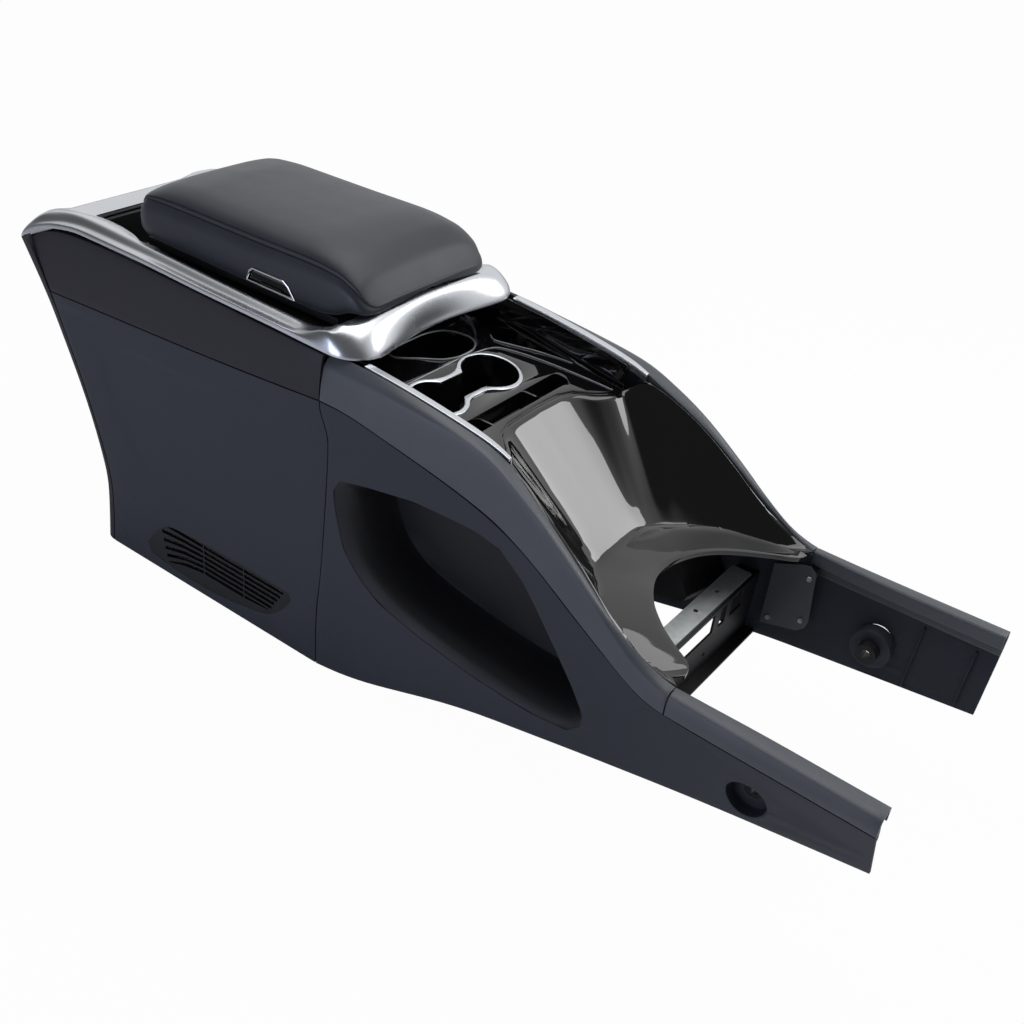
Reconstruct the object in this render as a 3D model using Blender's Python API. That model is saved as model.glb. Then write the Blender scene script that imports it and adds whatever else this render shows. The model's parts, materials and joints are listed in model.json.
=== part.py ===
"""Car center console: armrest box with side-opening lid, cup tray, front ramp and two front arms.

Units are metres, +Z up, +X towards the dashboard and the console is mirrored about Y = 0.
Along X every size is measured from the vertical joint between rear and front side panel.
"""
import math

import bmesh
import bpy
from mathutils import Vector

# Overall placing: distance of the side joint behind the middle of the whole console
JOINT_X = -0.0744

# Fits and walls
GAP = 0.0003
SEAM = 0.0008
WALL = 0.0035
RAIL_WALL = 0.0030
THIN = 0.0025
TONGUE = 0.0020
TONGUE_DROP = 0.010
CUT_REACH = 0.030

# Side view, (x, height)
ARM_END_X = 0.6667
RAIL_SPLIT_X = 0.4532
BOTTOM_Z = ((-0.365, 0.0), (0.0, 0.0), (0.037, 0.005), (0.071, 0.013), (0.130, 0.033),
            (0.171, 0.048), (0.230, 0.065), (0.287, 0.077), (0.385, 0.097), (0.500, 0.1155),
            (0.580, 0.1255), (0.6667, 0.137))
GROOVE_Z = ((-0.443, 0.327), (-0.293, 0.335), (-0.181, 0.340), (-0.078, 0.347), (0.0, 0.3535),
            (0.040, 0.354), (0.090, 0.3445), (0.148, 0.3355), (0.204, 0.3245), (0.262, 0.308),
            (0.322, 0.273), (0.390, 0.234), (0.425, 0.215), (0.447, 0.2115), (0.6667, 0.2095))
SHOULDER_Z = ((0.0, 0.394), (0.095, 0.393), (0.150, 0.3885), (0.186, 0.3845), (0.222, 0.377),
              (0.250, 0.3635), (0.285, 0.3455), (0.335, 0.308), (0.388, 0.266), (0.420, 0.243),
              (0.4532, 0.2335), (0.6667, 0.2297))
RIM_Z = ((0.0, 0.4035), (0.037, 0.4035), (0.090, 0.3995), (0.142, 0.3925), (0.180, 0.387),
         (0.222, 0.3765), (0.236, 0.3685), (0.2745, 0.3473), (0.3105, 0.326), (0.345, 0.299),
         (0.3723, 0.2765), (0.4123, 0.2510), (0.4532, 0.2355), (0.550, 0.2330), (0.6667, 0.2319))

# Half widths, (x, distance from the middle plane)
BOTTOM_W = ((0.0, 0.150), (0.340, 0.150), (0.420, 0.1487), (0.500, 0.1455), (0.580, 0.1425),
            (0.6667, 0.141))
GROOVE_W = ((0.0, 0.150), (0.100, 0.151), (0.200, 0.153), (0.260, 0.156), (0.320, 0.160),
            (0.390, 0.164), (0.447, 0.167), (0.580, 0.171), (0.6667, 0.1735))
SHOULDER_W = ((0.0, 0.1455), (0.100, 0.146), (0.200, 0.1475), (0.250, 0.152), (0.285, 0.156),
              (0.335, 0.160), (0.388, 0.163), (0.450, 0.166), (0.500, 0.1675), (0.6667, 0.1743))
RIM_W = ((0.0, 0.132), (0.180, 0.131), (0.229, 0.1300), (0.2745, 0.1405), (0.310, 0.1445),
         (0.346, 0.149), (0.372, 0.152), (0.412, 0.153), (0.4532, 0.150), (0.550, 0.1485),
         (0.617, 0.151), (0.6667, 0.1525))

# Ends of the side panels, (height, x)
REAR_EDGE_X = ((0.0, -0.363), (0.075, -0.356), (0.160, -0.372), (0.247, -0.409),
               (0.328, -0.443), (0.365, -0.4640), (0.400, -0.4860))
JOINT_EDGE_X = ((0.0, 0.0), (0.085, -0.001), (0.120, 0.006), (0.2121, 0.0106), (0.300, 0.015),
                (0.322, 0.013), (0.342, 0.001), (0.420, 0.0))
SIDE_W = BOTTOM_W[0][1]
PANEL_ROWS = (0.0, 0.24, 0.34, 0.85, 0.905, 0.967, 1.0)
REAR_ROWS = (0.0, 0.24, 0.34, 0.60, 0.85, 0.905, 0.967, 1.0)
REAR_EDGE_Z = 0.327


def curve(table, at):
    """Smooth value at one place on a line through (place, value) pairs."""
    if at <= table[0][0]:
        return table[0][1]
    if at >= table[-1][0]:
        return table[-1][1]
    steps = [(b[1] - a[1]) / (b[0] - a[0]) for a, b in zip(table, table[1:])]

    def slope(index):
        if index == 0:
            return steps[0]
        if index == len(steps):
            return steps[-1]
        before, after = steps[index - 1], steps[index]
        if before * after <= 0.0:
            return 0.0
        return 2.0 * before * after / (before + after)

    for index, (low, high) in enumerate(zip(table, table[1:])):
        if at <= high[0]:
            span = high[0] - low[0]
            t = (at - low[0]) / span
            return (low[1] * (2 * t ** 3 - 3 * t ** 2 + 1) + high[1] * (3 * t ** 2 - 2 * t ** 3)
                    + slope(index) * span * (t ** 3 - 2 * t ** 2 + t)
                    + slope(index + 1) * span * (t ** 3 - t ** 2))
    return table[-1][1]


def mix(a, b, t):
    """Value between a and b."""
    return a + (b - a) * t


def spread(low, high, count):
    """Equal steps from low to high."""
    return [mix(low, high, i / (count - 1)) for i in range(count)]


def side_w(x, z):
    """Half width of the outer side wall at one place between bottom edge and groove."""
    low, high = curve(BOTTOM_Z, x), curve(GROOVE_Z, x)
    share = min(max((z - low) / (high - low), 0.0), 1.0)
    return mix(curve(BOTTOM_W, x), curve(GROOVE_W, x), share)


# Finishes: name, colour, metallic, roughness
FINISHES = {
    "panel": ((0.030, 0.033, 0.042), 0.0, 0.62),
    "strip": ((0.022, 0.021, 0.027), 0.0, 0.60),
    "rail": ((0.040, 0.043, 0.048), 0.0, 0.50),
    "satin": ((0.60, 0.62, 0.65), 1.0, 0.30),
    "gloss": ((0.010, 0.010, 0.012), 0.0, 0.05),
    "leather": ((0.045, 0.048, 0.055), 0.0, 0.48),
    "inner": ((0.016, 0.016, 0.018), 0.0, 0.55),
    "chrome": ((0.75, 0.76, 0.78), 1.0, 0.08),
    "zinc": ((0.42, 0.44, 0.44), 1.0, 0.38),
    "steel": ((0.30, 0.31, 0.33), 1.0, 0.35),
}


def finish(name):
    """Material of one finish."""
    found = bpy.data.materials.get(name)
    if found:
        return found
    colour, metallic, roughness = FINISHES[name]
    material = bpy.data.materials.new(name)
    material.use_nodes = True
    shader = material.node_tree.nodes["Principled BSDF"]
    shader.inputs["Base Color"].default_value = (*colour, 1.0)
    shader.inputs["Metallic"].default_value = metallic
    shader.inputs["Roughness"].default_value = roughness
    return material


def solid(name, points, faces, look, origin=(0.0, 0.0, 0.0), smooth=False):
    """Closed body from points and faces, with its origin where it turns."""
    shift = Vector((JOINT_X, 0.0, 0.0))
    pivot = Vector(origin)
    mesh = bpy.data.meshes.new(name)
    mesh.from_pydata([Vector(p) - pivot for p in points], [], faces)
    work = bmesh.new()
    work.from_mesh(mesh)
    bmesh.ops.remove_doubles(work, verts=work.verts, dist=1e-6)
    bmesh.ops.recalc_face_normals(work, faces=work.faces)
    work.to_mesh(mesh)
    work.free()
    for polygon in mesh.polygons:
        polygon.use_smooth = smooth
    made = bpy.data.objects.new(name, mesh)
    made.location = pivot + shift
    made.data.materials.append(finish(look))
    bpy.context.scene.collection.objects.link(made)
    return made


def bake(made):
    """Keep the shape that the modifiers of a body give."""
    bpy.context.view_layer.update()
    graph = bpy.context.evaluated_depsgraph_get()
    fresh = bpy.data.meshes.new_from_object(made.evaluated_get(graph))
    old = made.data
    made.modifiers.clear()
    made.data = fresh
    fresh.name = made.name
    bpy.data.meshes.remove(old)


def combine(made, tools, operation):
    """Cut the tools out of a body or fuse them to it."""
    for tool in tools:
        change = made.modifiers.new(operation, "BOOLEAN")
        change.operation = operation
        change.solver = "EXACT"
        change.object = tool
    bake(made)
    for tool in tools:
        mesh = tool.data
        bpy.data.objects.remove(tool)
        bpy.data.meshes.remove(mesh)
    return made


def cut(made, *tools):
    """Body without the tools."""
    return combine(made, tools, "DIFFERENCE")


def fuse(made, *tools):
    """Body with the tools moulded on."""
    return combine(made, tools, "UNION")


def loft(name, sections, look, closed=False, origin=(0.0, 0.0, 0.0), smooth=False):
    """Body through sections of equal point count, with flat ends or run round in a ring."""
    count = len(sections[0])
    points = [p for section in sections for p in section]
    faces = []
    last = len(sections) if closed else len(sections) - 1
    for i in range(last):
        near = i * count
        far = ((i + 1) % len(sections)) * count
        for j in range(count):
            k = (j + 1) % count
            faces.append((near + j, near + k, far + k, far + j))
    if not closed:
        faces.append(tuple(range(count - 1, -1, -1)))
        faces.append(tuple(range((len(sections) - 1) * count, len(sections) * count)))
    return solid(name, points, faces, look, origin, smooth)


def wall(name, outer, inner, look, smooth=False):
    """Thin wall between two equal grids of points."""
    rows, columns = len(outer), len(outer[0])
    points = [p for row in outer for p in row] + [p for row in inner for p in row]
    back = rows * columns
    faces = []
    for i in range(rows - 1):
        for j in range(columns - 1):
            a = i * columns + j
            b, c, d = a + 1, a + columns + 1, a + columns
            faces.append((a, b, c, d))
            faces.append((back + d, back + c, back + b, back + a))
    border = [i * columns for i in range(rows)]
    border += [(rows - 1) * columns + j for j in range(1, columns)]
    border += [i * columns + columns - 1 for i in range(rows - 2, -1, -1)]
    border += list(range(columns - 2, 0, -1))
    for a, b in zip(border, border[1:] + border[:1]):
        faces.append((a, b, back + b, back + a))
    return solid(name, points, faces, look, smooth=smooth)


def block(name, low, high, look="inner", origin=(0.0, 0.0, 0.0)):
    """Plain box between two corners."""
    sections = []
    for x in (low[0], high[0]):
        sections.append([(x, low[1], low[2]), (x, high[1], low[2]),
                         (x, high[1], high[2]), (x, low[1], high[2])])
    return loft(name, sections, look, origin=origin)


def prism(name, outline, axis, low, high, look="inner", smooth=False):
    """Straight body: an outline drawn across one axis and pushed along it."""
    order = {"x": lambda a, b, c: (c, a, b), "y": lambda a, b, c: (a, c, b),
             "z": lambda a, b, c: (a, b, c)}[axis]
    sections = [[order(a, b, level) for a, b in outline] for level in (low, high)]
    return loft(name, sections, look, smooth=smooth)


def circle(centre, radius, count, start=0.0):
    """Points of a circle in a plane."""
    turn = 2.0 * math.pi / count
    return [(centre[0] + radius * math.cos(start + turn * i),
             centre[1] + radius * math.sin(start + turn * i)) for i in range(count)]


def pipe(name, centre, axis, low, high, outer, inner, look, count=20, origin=(0.0, 0.0, 0.0)):
    """Round bush along one axis; a pin where inner is zero."""
    order = {"x": lambda a, b, c: (c, a, b), "y": lambda a, b, c: (a, c, b),
             "z": lambda a, b, c: (a, b, c)}[axis]

    def ring(radius, level):
        return [order(a, b, level) for a, b in circle(centre, radius, count)]

    if inner == 0.0:
        return loft(name, [ring(outer, low), ring(outer, high)], look, origin=origin)
    sections = [ring(outer, low), ring(outer, high), ring(inner, high), ring(inner, low)]
    return loft(name, sections, look, closed=True, origin=origin)


SIDES = (("left", -1), ("right", 1))


# Storage opening and foot-well vent of the side panels, outlines as (x, height)
POCKET_RIM = ((0.022, 0.252), (0.027, 0.225), (0.040, 0.184), (0.060, 0.160), (0.093, 0.138),
              (0.150, 0.124), (0.225, 0.113), (0.300, 0.109), (0.348, 0.115), (0.363, 0.130),
              (0.364, 0.148), (0.346, 0.180), (0.325, 0.209), (0.297, 0.245), (0.274, 0.270),
              (0.246, 0.289), (0.216, 0.295), (0.135, 0.291), (0.060, 0.277), (0.032, 0.269))
POCKET_MOUTH = ((0.046, 0.248), (0.050, 0.225), (0.063, 0.192), (0.080, 0.173), (0.108, 0.154),
                (0.158, 0.142), (0.227, 0.131), (0.295, 0.126), (0.336, 0.129), (0.350, 0.138),
                (0.354, 0.150), (0.340, 0.177), (0.320, 0.204), (0.292, 0.239), (0.269, 0.263),
                (0.243, 0.282), (0.216, 0.288), (0.136, 0.284), (0.070, 0.271), (0.053, 0.263))
POCKET_MOUTH_IN = 0.018
POCKET_BACK_IN = 0.064
VENT_OUTLINE = ((-0.294, 0.031), (-0.279, 0.055), (-0.258, 0.073), (-0.237, 0.079),
                (-0.057, 0.083), (-0.045, 0.080), (-0.041, 0.072), (-0.046, 0.060),
                (-0.070, 0.033), (-0.096, 0.024), (-0.157, 0.013), (-0.200, 0.011),
                (-0.260, 0.012), (-0.288, 0.018))
FIELD_OUTLINE = ((-0.374, 0.298), (-0.364, 0.243), (-0.342, 0.193), (-0.317, 0.154),
                 (-0.280, 0.118), (-0.238, 0.093), (-0.030, 0.093), (-0.012, 0.316),
                 (-0.078, 0.313), (-0.181, 0.307), (-0.293, 0.303))
FIELD_DEPTH = 0.0022

# Screw cup of the front arms
CUP_X = 0.545
CUP_Z = 0.157
CUP_R = 0.0215
CUP_WALL = 0.0020
CUP_FLOOR_Y = SIDE_W - 0.0115
CUP_OUT_Y = SIDE_W + 0.025
BUSH_R = 0.0120
BUSH_BORE = 0.0060
BUSH_LENGTH = 0.012
ARM_RIBS_X = (0.588, 0.645)
RIB = 0.0016
RIB_HEIGHT = 0.0045


def grown(outline, by):
    """Outline with every edge moved outwards by a distance."""
    count = len(outline)
    area = sum(outline[i][0] * outline[(i + 1) % count][1]
               - outline[(i + 1) % count][0] * outline[i][1] for i in range(count))
    sign = 1.0 if area > 0.0 else -1.0
    normals = []
    for i, (x, z) in enumerate(outline):
        after = outline[(i + 1) % count]
        along = Vector((after[0] - x, after[1] - z)).normalized()
        normals.append(Vector((sign * along.y, -sign * along.x)))
    moved = []
    for i, (x, z) in enumerate(outline):
        both = normals[i - 1] + normals[i]
        step = both * (by / (1.0 + normals[i - 1].dot(normals[i])))
        moved.append((x + step.x, z + step.y))
    return moved


def panel_section(x_of, side, rows):
    """One upright strip of a lower side panel as (outer points, inner points)."""
    outer, inner = [], []
    for share in rows:
        x = x_of(share)
        top = curve(GROOVE_Z, x) - SEAM
        z = mix(curve(BOTTOM_Z, x), top, share)
        outer.append((x, side * side_w(x, z), z))
        inner.append((x, side * (side_w(x, z) - WALL), z))
    return outer, inner


def make_rear_side_panels():
    """Lower panels behind the joint with the pressed field and the vent opening."""
    for label, side in SIDES:
        outer, inner = [], []
        for step in spread(0.0, 1.0, 5):
            def x_of(share, step=step):
                z = share * curve(GROOVE_Z, 0.0)
                low = curve(REAR_EDGE_X, share * REAR_EDGE_Z)
                return mix(low, curve(JOINT_EDGE_X, z) - SEAM, step)
            row = panel_section(x_of, side, REAR_ROWS)
            outer.append(row[0])
            inner.append(row[1])
        panel = wall("side_panel_rear_" + label, outer, inner, "panel")
        vent = prism("vent_cut", grown(VENT_OUTLINE, GAP), "y", side * (SIDE_W - CUT_REACH),
                     side * (SIDE_W + CUT_REACH))
        face = [(x, side * (SIDE_W + 0.010), z) for x, z in grown(FIELD_OUTLINE, 0.006)]
        middle = sum(x for x, z in FIELD_OUTLINE) / len(FIELD_OUTLINE)
        floor = []
        for x, z in grown(FIELD_OUTLINE, -0.012):
            depth = FIELD_DEPTH * min(1.0, max(0.12, (-x) / -middle * 0.8))
            floor.append((x, side * (SIDE_W - depth), z))
        edge = [(x, side * (SIDE_W + 0.0002), z) for x, z in FIELD_OUTLINE]
        field = loft("field_cut", [face, edge, floor], "panel")
        cut(panel, vent, field)


def make_front_side_panels():
    """Lower panels ahead of the joint, each running out into a front arm."""
    for label, side in SIDES:
        stations = [0.037, 0.080, 0.130, 0.190, 0.240, 0.285, 0.322, 0.356, 0.390, 0.425,
                    0.450, 0.520, ARM_END_X]
        rows = [lambda share: curve(JOINT_EDGE_X, share * curve(GROOVE_Z, 0.0)) + SEAM]
        rows += [lambda share, x=x: x for x in stations]
        outer, inner = [], []
        for x_of in rows:
            row = panel_section(x_of, side, PANEL_ROWS)
            outer.append(row[0])
            inner.append(row[1])
        panel = wall("side_panel_front_" + label, outer, inner, "panel")
        boss_low = CUP_FLOOR_Y - CUP_WALL
        boss_high = side_w(CUP_X, CUP_Z) - 0.0015
        extra = [pipe("boss", (CUP_X, CUP_Z), "y", side * boss_low, side * boss_high,
                      CUP_R + CUP_WALL, 0.0, "panel", 16)]
        for x in ARM_RIBS_X:
            low = curve(BOTTOM_Z, x) + 0.004
            high = curve(GROOVE_Z, x) - TONGUE_DROP - 0.004
            profile = []
            for x_end in (x - RIB / 2.0, x + RIB / 2.0):
                profile.append([
                    (x_end, side * (side_w(x, low) - WALL - RIB_HEIGHT), low),
                    (x_end, side * (side_w(x, low) - WALL / 2.0), low),
                    (x_end, side * (side_w(x, high) - WALL / 2.0), high),
                    (x_end, side * (side_w(x, high) - WALL - RIB_HEIGHT), high)])
            extra.append(loft("rib", profile, "panel"))
        fuse(panel, *extra)
        mouth = prism("mouth", grown(POCKET_RIM, GAP), "y", side * (SIDE_W - CUT_REACH),
                      side * (SIDE_W + CUT_REACH))
        cup = pipe("cup", (CUP_X, CUP_Z), "y", side * CUP_FLOOR_Y, side * CUP_OUT_Y,
                   CUP_R, 0.0, "panel", 18)
        bore = pipe("bore", (CUP_X, CUP_Z), "y", side * (boss_low - 0.02), side * CUP_OUT_Y,
                    BUSH_R - TONGUE + GAP, 0.0, "panel", 12)
        cut(panel, mouth, cup, bore)


def make_pocket_liners():
    """Tubs behind the side storage openings with a rounded funnel lip."""
    for label, side in SIDES:
        back = grown(POCKET_MOUTH, -0.010)
        half = [((a[0] + b[0]) / 2.0, (a[1] + b[1]) / 2.0) for a, b in zip(POCKET_RIM, POCKET_MOUTH)]

        def ring(outline, inward, by=0.0):
            return [(x, side * (side_w(x, z) - inward), z) for x, z in grown(outline, by)]

        loops = [ring(POCKET_RIM, 0.0004, -0.0002),
                 ring(half, 0.0050),
                 ring(POCKET_MOUTH, POCKET_MOUTH_IN),
                 ring(back, POCKET_BACK_IN),
                 ring(back, POCKET_BACK_IN + 0.002, 0.002),
                 ring(POCKET_MOUTH, POCKET_MOUTH_IN + 0.001, 0.002),
                 ring(POCKET_RIM, WALL - 0.0004, -0.0002)]
        count = len(POCKET_RIM)
        points = [p for loop in loops for p in loop]
        faces = []
        for i in (0, 1, 2, 4, 5):
            for j in range(count):
                k = (j + 1) % count
                faces.append((i * count + j, i * count + k, (i + 1) * count + k, (i + 1) * count + j))
        for j in range(count):
            k = (j + 1) % count
            faces.append((6 * count + j, 6 * count + k, k, j))
        faces.append(tuple(range(3 * count, 4 * count)))
        faces.append(tuple(range(5 * count - 1, 4 * count - 1, -1)))
        solid("pocket_liner_" + label, points, faces, "inner")


# Slats of the foot-well vent
SLOTS = 6
SLOT_TOP_Z = 0.0745
SLOT_PITCH = 0.0078
SLOT_WIDTH = 0.0050
SLOT_ENDS_X = (-0.268, -0.190, -0.120, -0.050)
CROSS_RIB = 0.0018
VENT_SET = 0.0002
VENT_BEND_X = -0.185
VENT_FLOOR = ((-0.290, 0.022), (-0.260, 0.018), (-0.157, 0.019), (-0.096, 0.030), (-0.070, 0.040))


def slot_z(index, x):
    """Height of the middle of one vent slot."""
    z = SLOT_TOP_Z - index * SLOT_PITCH
    bend = max(0.0, VENT_BEND_X - x) / 0.085
    return z - bend ** 2 * 0.0052 * index


def slot_end_x(z):
    """Front end of a vent slot, set back from the slanted end of the grille."""
    return mix(-0.082, -0.053, min(max((z - 0.030) / 0.045, 0.0), 1.0))


def make_vents():
    """Grilles with long slats that fan down at the rear end and cross ribs."""
    for label, side in SIDES:
        face = side * (SIDE_W - VENT_SET)
        back = side * (SIDE_W - WALL)
        grille = prism("vent_grille_" + label, VENT_OUTLINE, "y", back, face, "inner")
        slots = []
        for index in range(SLOTS):
            for start, end in zip(SLOT_ENDS_X, SLOT_ENDS_X[1:]):
                low_x = start + CROSS_RIB / 2.0
                high_x = end - CROSS_RIB / 2.0
                if end == SLOT_ENDS_X[-1]:
                    high_x = slot_end_x(slot_z(index, end))
                if start == SLOT_ENDS_X[0]:
                    low_x = start + 0.0022 * index
                if high_x - low_x < 0.008:
                    continue
                steps = spread(low_x, high_x, 3 if start < VENT_BEND_X else 2)
                upper = [(x, slot_z(index, x) + SLOT_WIDTH / 2.0) for x in steps]
                lower = [(x, slot_z(index, x) - SLOT_WIDTH / 2.0) for x in reversed(steps)]
                lower = [(x, max(z, curve(VENT_FLOOR, x))) for x, z in lower]
                if min(u[1] - d[1] for u, d in zip(upper, reversed(lower))) < 0.001:
                    continue
                slots.append(prism("slot", upper + lower, "y", side * (SIDE_W - CUT_REACH),
                                   side * (SIDE_W + CUT_REACH)))
        cut(grille, *slots)


# Upper strips and the metal-look frame
FRAME_EDGE_Z = ((-0.520, 0.366), (-0.508, 0.3745), (-0.475, 0.393), (-0.439, 0.4055),
                (-0.388, 0.4130), (-0.297, 0.4130), (-0.189, 0.4100), (-0.087, 0.4085),
                (-0.009, 0.4063), (0.016, 0.4058), (0.043, 0.4048))
FRAME_RIDGE_Z = ((-0.492, 0.4045), (-0.474, 0.4120), (-0.452, 0.4190), (-0.430, 0.4235),
                 (-0.408, 0.4250), (-0.291, 0.4220), (-0.162, 0.4175), (-0.045, 0.4150),
                 (-0.020, 0.4210), (0.003, 0.4320))
FRAME_DROP = 0.016
FRAME_ARCH = 0.0062
FRAME_ARCH_W = 0.1200
FRAME_ARCH_X = (-0.0200, 0.0000)
FRAME_REAR_X = -0.5180
FRAME_FRONT_X = 0.0430
FRAME_INNER_REAR_X = -0.4320
FRAME_INNER_X = -0.0080
FRAME_WALL = 0.0025
FRAME_SHARES = (0.16, 0.34, 0.52, 0.68, 0.80, 0.90)
BAR_SHARES = (0.0, 0.36, 0.70)
BAR_BEND = 1.5
BAR_RECESS = 0.0150
BAR_TOP_RECESS = 0.0070
BAR_EDGE_ARCH = -0.0030
FRAME_SAG_X = -0.2000
FRAME_LEDGE_SAG = ((-0.432, 0.0100), (-0.410, 0.0075), (-0.386, 0.0045), (-0.362, 0.0025),
                   (-0.300, 0.0))
FRAME_LEDGE_X = -0.3120
LEDGE_BEND = 0.55
FRAME_LIP = 0.0055
FRAME_FOOT_X = -0.2700
STRIP_LEAN = 0.0055
STRIP_TOP_W = SIDE_W - STRIP_LEAN
STRIP_TOP_GAP = 0.0025
STRIP_LIP = 0.0070
STRIP_STEPS = (0.0, 0.045, 0.100, 0.200, 0.450, 0.680, 1.0)
FRAME_W = STRIP_TOP_W - 0.0015
FRAME_REAR_IN = 0.0030
FRAME_BREADTH = 0.0295
INNER_W = FRAME_W - FRAME_BREADTH
LEDGE_W = INNER_W - 0.0260
LEDGE_SPAN = 0.0220
MIDDLE_SAG = (FRAME_W - 0.0230, 0.0300, 0.0030)
RIDGE_SAG = (FRAME_W - 0.0290, 0.0300, 0.0045)
OUTER_ROUND = (0.019, 0.018)
INNER_ROUND = (0.008, 0.008)
SHELF_IN_W = INNER_W - 0.0020
SHELF_OUT_W = STRIP_TOP_W - 0.0095
SHELF_REAR_X = -0.4500
SHELF_LEVEL_X = -0.0450
SHELF_SET = 0.0009


def make_side_strips():
    """Dark strips above the groove behind the joint, with a shelf that carries the frame."""
    for label, side in SIDES:
        sections = []
        for step in STRIP_STEPS:
            def x_at(z, step=step):
                return mix(curve(REAR_EDGE_X, z), -SEAM, step)
            x = x_at(0.33)
            x_top = x_at(0.40)
            base = curve(GROOVE_Z, x) + SEAM
            top = curve(FRAME_EDGE_Z, x_top) - STRIP_TOP_GAP
            shelf = curve(FRAME_RIDGE_Z, min(x_top, SHELF_LEVEL_X)) - FRAME_DROP - SHELF_SET
            tongue_z = base - TONGUE_DROP
            back_w = SIDE_W - WALL - GAP
            lip_w = STRIP_TOP_W - STRIP_LIP
            foot_w = SHELF_OUT_W - 0.0060
            profile = [(SIDE_W, base), (SIDE_W - 0.0015, mix(base, top, 0.5)),
                       (STRIP_TOP_W + 0.0012, top - 0.004), (STRIP_TOP_W - 0.0010, top),
                       (lip_w, top), (foot_w, shelf), (SHELF_IN_W, shelf),
                       (SHELF_IN_W, shelf - THIN), (foot_w + 0.0010, shelf - THIN - 0.0005),
                       (lip_w + 0.0010, top - RAIL_WALL - 0.0005),
                       (STRIP_TOP_W - RAIL_WALL, top - 0.0050),
                       (SIDE_W - 0.0015 - RAIL_WALL, mix(base, top, 0.5)),
                       (back_w - TONGUE, base + 0.006), (back_w - TONGUE, tongue_z),
                       (back_w, tongue_z), (back_w, base)]
            sections.append([(x_at(z) if w > SHELF_OUT_W else max(x_at(z), SHELF_REAR_X), side * w, z)
                             for w, z in profile])
        loft("side_strip_" + label, sections, "strip")


def rail_profile(x, side, inner_drop):
    """Cross-section of the top rail or of an arm cap at one station."""
    base = curve(GROOVE_Z, x) + SEAM
    low_w = side_w(x, base)
    tongue_z = base - TONGUE_DROP
    tongue_w = side_w(x, tongue_z) - WALL - GAP
    step_w = min(low_w - WALL - GAP, tongue_w + 0.002)
    shoulder_w, shoulder_z = curve(SHOULDER_W, x), curve(SHOULDER_Z, x)
    rim_w, rim_z = curve(RIM_W, x), curve(RIM_Z, x)
    round_z = min(0.006, (shoulder_z - base) * 0.35)
    profile = [(low_w, base),
               (mix(low_w, shoulder_w, 0.62) + 0.0012, mix(base, shoulder_z - round_z, 0.55)),
               (shoulder_w, shoulder_z - round_z),
               (shoulder_w - 0.0016, shoulder_z - 0.0016),
               (shoulder_w - 0.0055, mix(shoulder_z, rim_z, 0.35) + 0.0003),
               (rim_w + 0.0020, rim_z),
               (rim_w, rim_z - 0.0015),
               (rim_w, rim_z - inner_drop),
               (rim_w + TONGUE, rim_z - inner_drop),
               (rim_w + TONGUE, rim_z - RAIL_WALL - 0.001),
               (shoulder_w - 0.0065, mix(shoulder_z, rim_z, 0.35) - RAIL_WALL),
               (shoulder_w - RAIL_WALL - 0.0006, shoulder_z - round_z - 0.001),
               (step_w - TONGUE, base + 0.002),
               (tongue_w - TONGUE, tongue_z),
               (tongue_w, tongue_z),
               (step_w, base)]
    return [(x, side * w, z) for w, z in profile]


RAIL_LOW_X = (RAIL_SPLIT_X - SEAM, 0.435, 0.412, 0.375, 0.335, 0.290, 0.245)


def make_rails():
    """Top rails from the joint down to the arms, and the caps of the arms."""
    for label, side in SIDES:
        stations = [SEAM, 0.037, 0.090, 0.142, 0.190, 0.222] + list(reversed(RAIL_LOW_X))
        loft("side_rail_" + label, [rail_profile(x, side, 0.008) for x in stations], "rail")
        stations = [RAIL_SPLIT_X + SEAM, 0.500, 0.550, 0.617, ARM_END_X]
        loft("arm_rail_" + label, [rail_profile(x, side, 0.016) for x in stations], "rail")


# Rear cover
COVER_TOP_Z = 0.388
COVER_BACK = ((0.0, 0.024), (0.200, 0.022), (0.330, 0.0265), (0.388, 0.0265))
COVER_CORNER = 0.020
COVER_LIP = ((0.277, 0.0080), (0.316, -0.0010))
COVER_ROWS = (0.0, 0.24, 0.34, 0.60, 0.85, 0.967)


def make_rear_cover():
    """Cover that wraps round the back from side joint to side joint, with lips behind the panels."""
    sections = []
    levels = [share * REAR_EDGE_Z for share in COVER_ROWS] + [COVER_TOP_Z]
    for z in levels:
        edge = curve(REAR_EDGE_X, z)
        back = edge - curve(COVER_BACK, z)
        lip = edge + curve(COVER_LIP, z)
        inside = SIDE_W - WALL - GAP

        def half(inset, back=back):
            points = []
            for step in range(1, 5):
                angle = math.radians(90.0 * step / 4)
                radius = COVER_CORNER - inset
                points.append((back + inset + radius - radius * math.sin(angle),
                               SIDE_W - inset - radius + radius * math.cos(angle)))
            points.append((back + inset - 0.003, 0.0))
            return points

        near = [(edge - 2.0 * SEAM, SIDE_W)] + half(0.0)
        under = half(RAIL_WALL)
        under = list(reversed(under)) + [(lip, inside - TONGUE), (lip, inside),
                                         (edge - 2.0 * SEAM, inside)]
        ring = [(x, -y, z) for x, y in near] + [(x, y, z) for x, y in reversed(near[:-1])]
        ring += [(x, y, z) for x, y in reversed(under[1:])]
        ring += [(x, -y, z) for x, y in under]
        if z == levels[-1]:
            ring = [(x, y, curve(FRAME_EDGE_Z, x) - STRIP_TOP_GAP) for x, y, z in ring]
        sections.append(ring)
    loft("rear_cover", sections, "strip")


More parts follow.
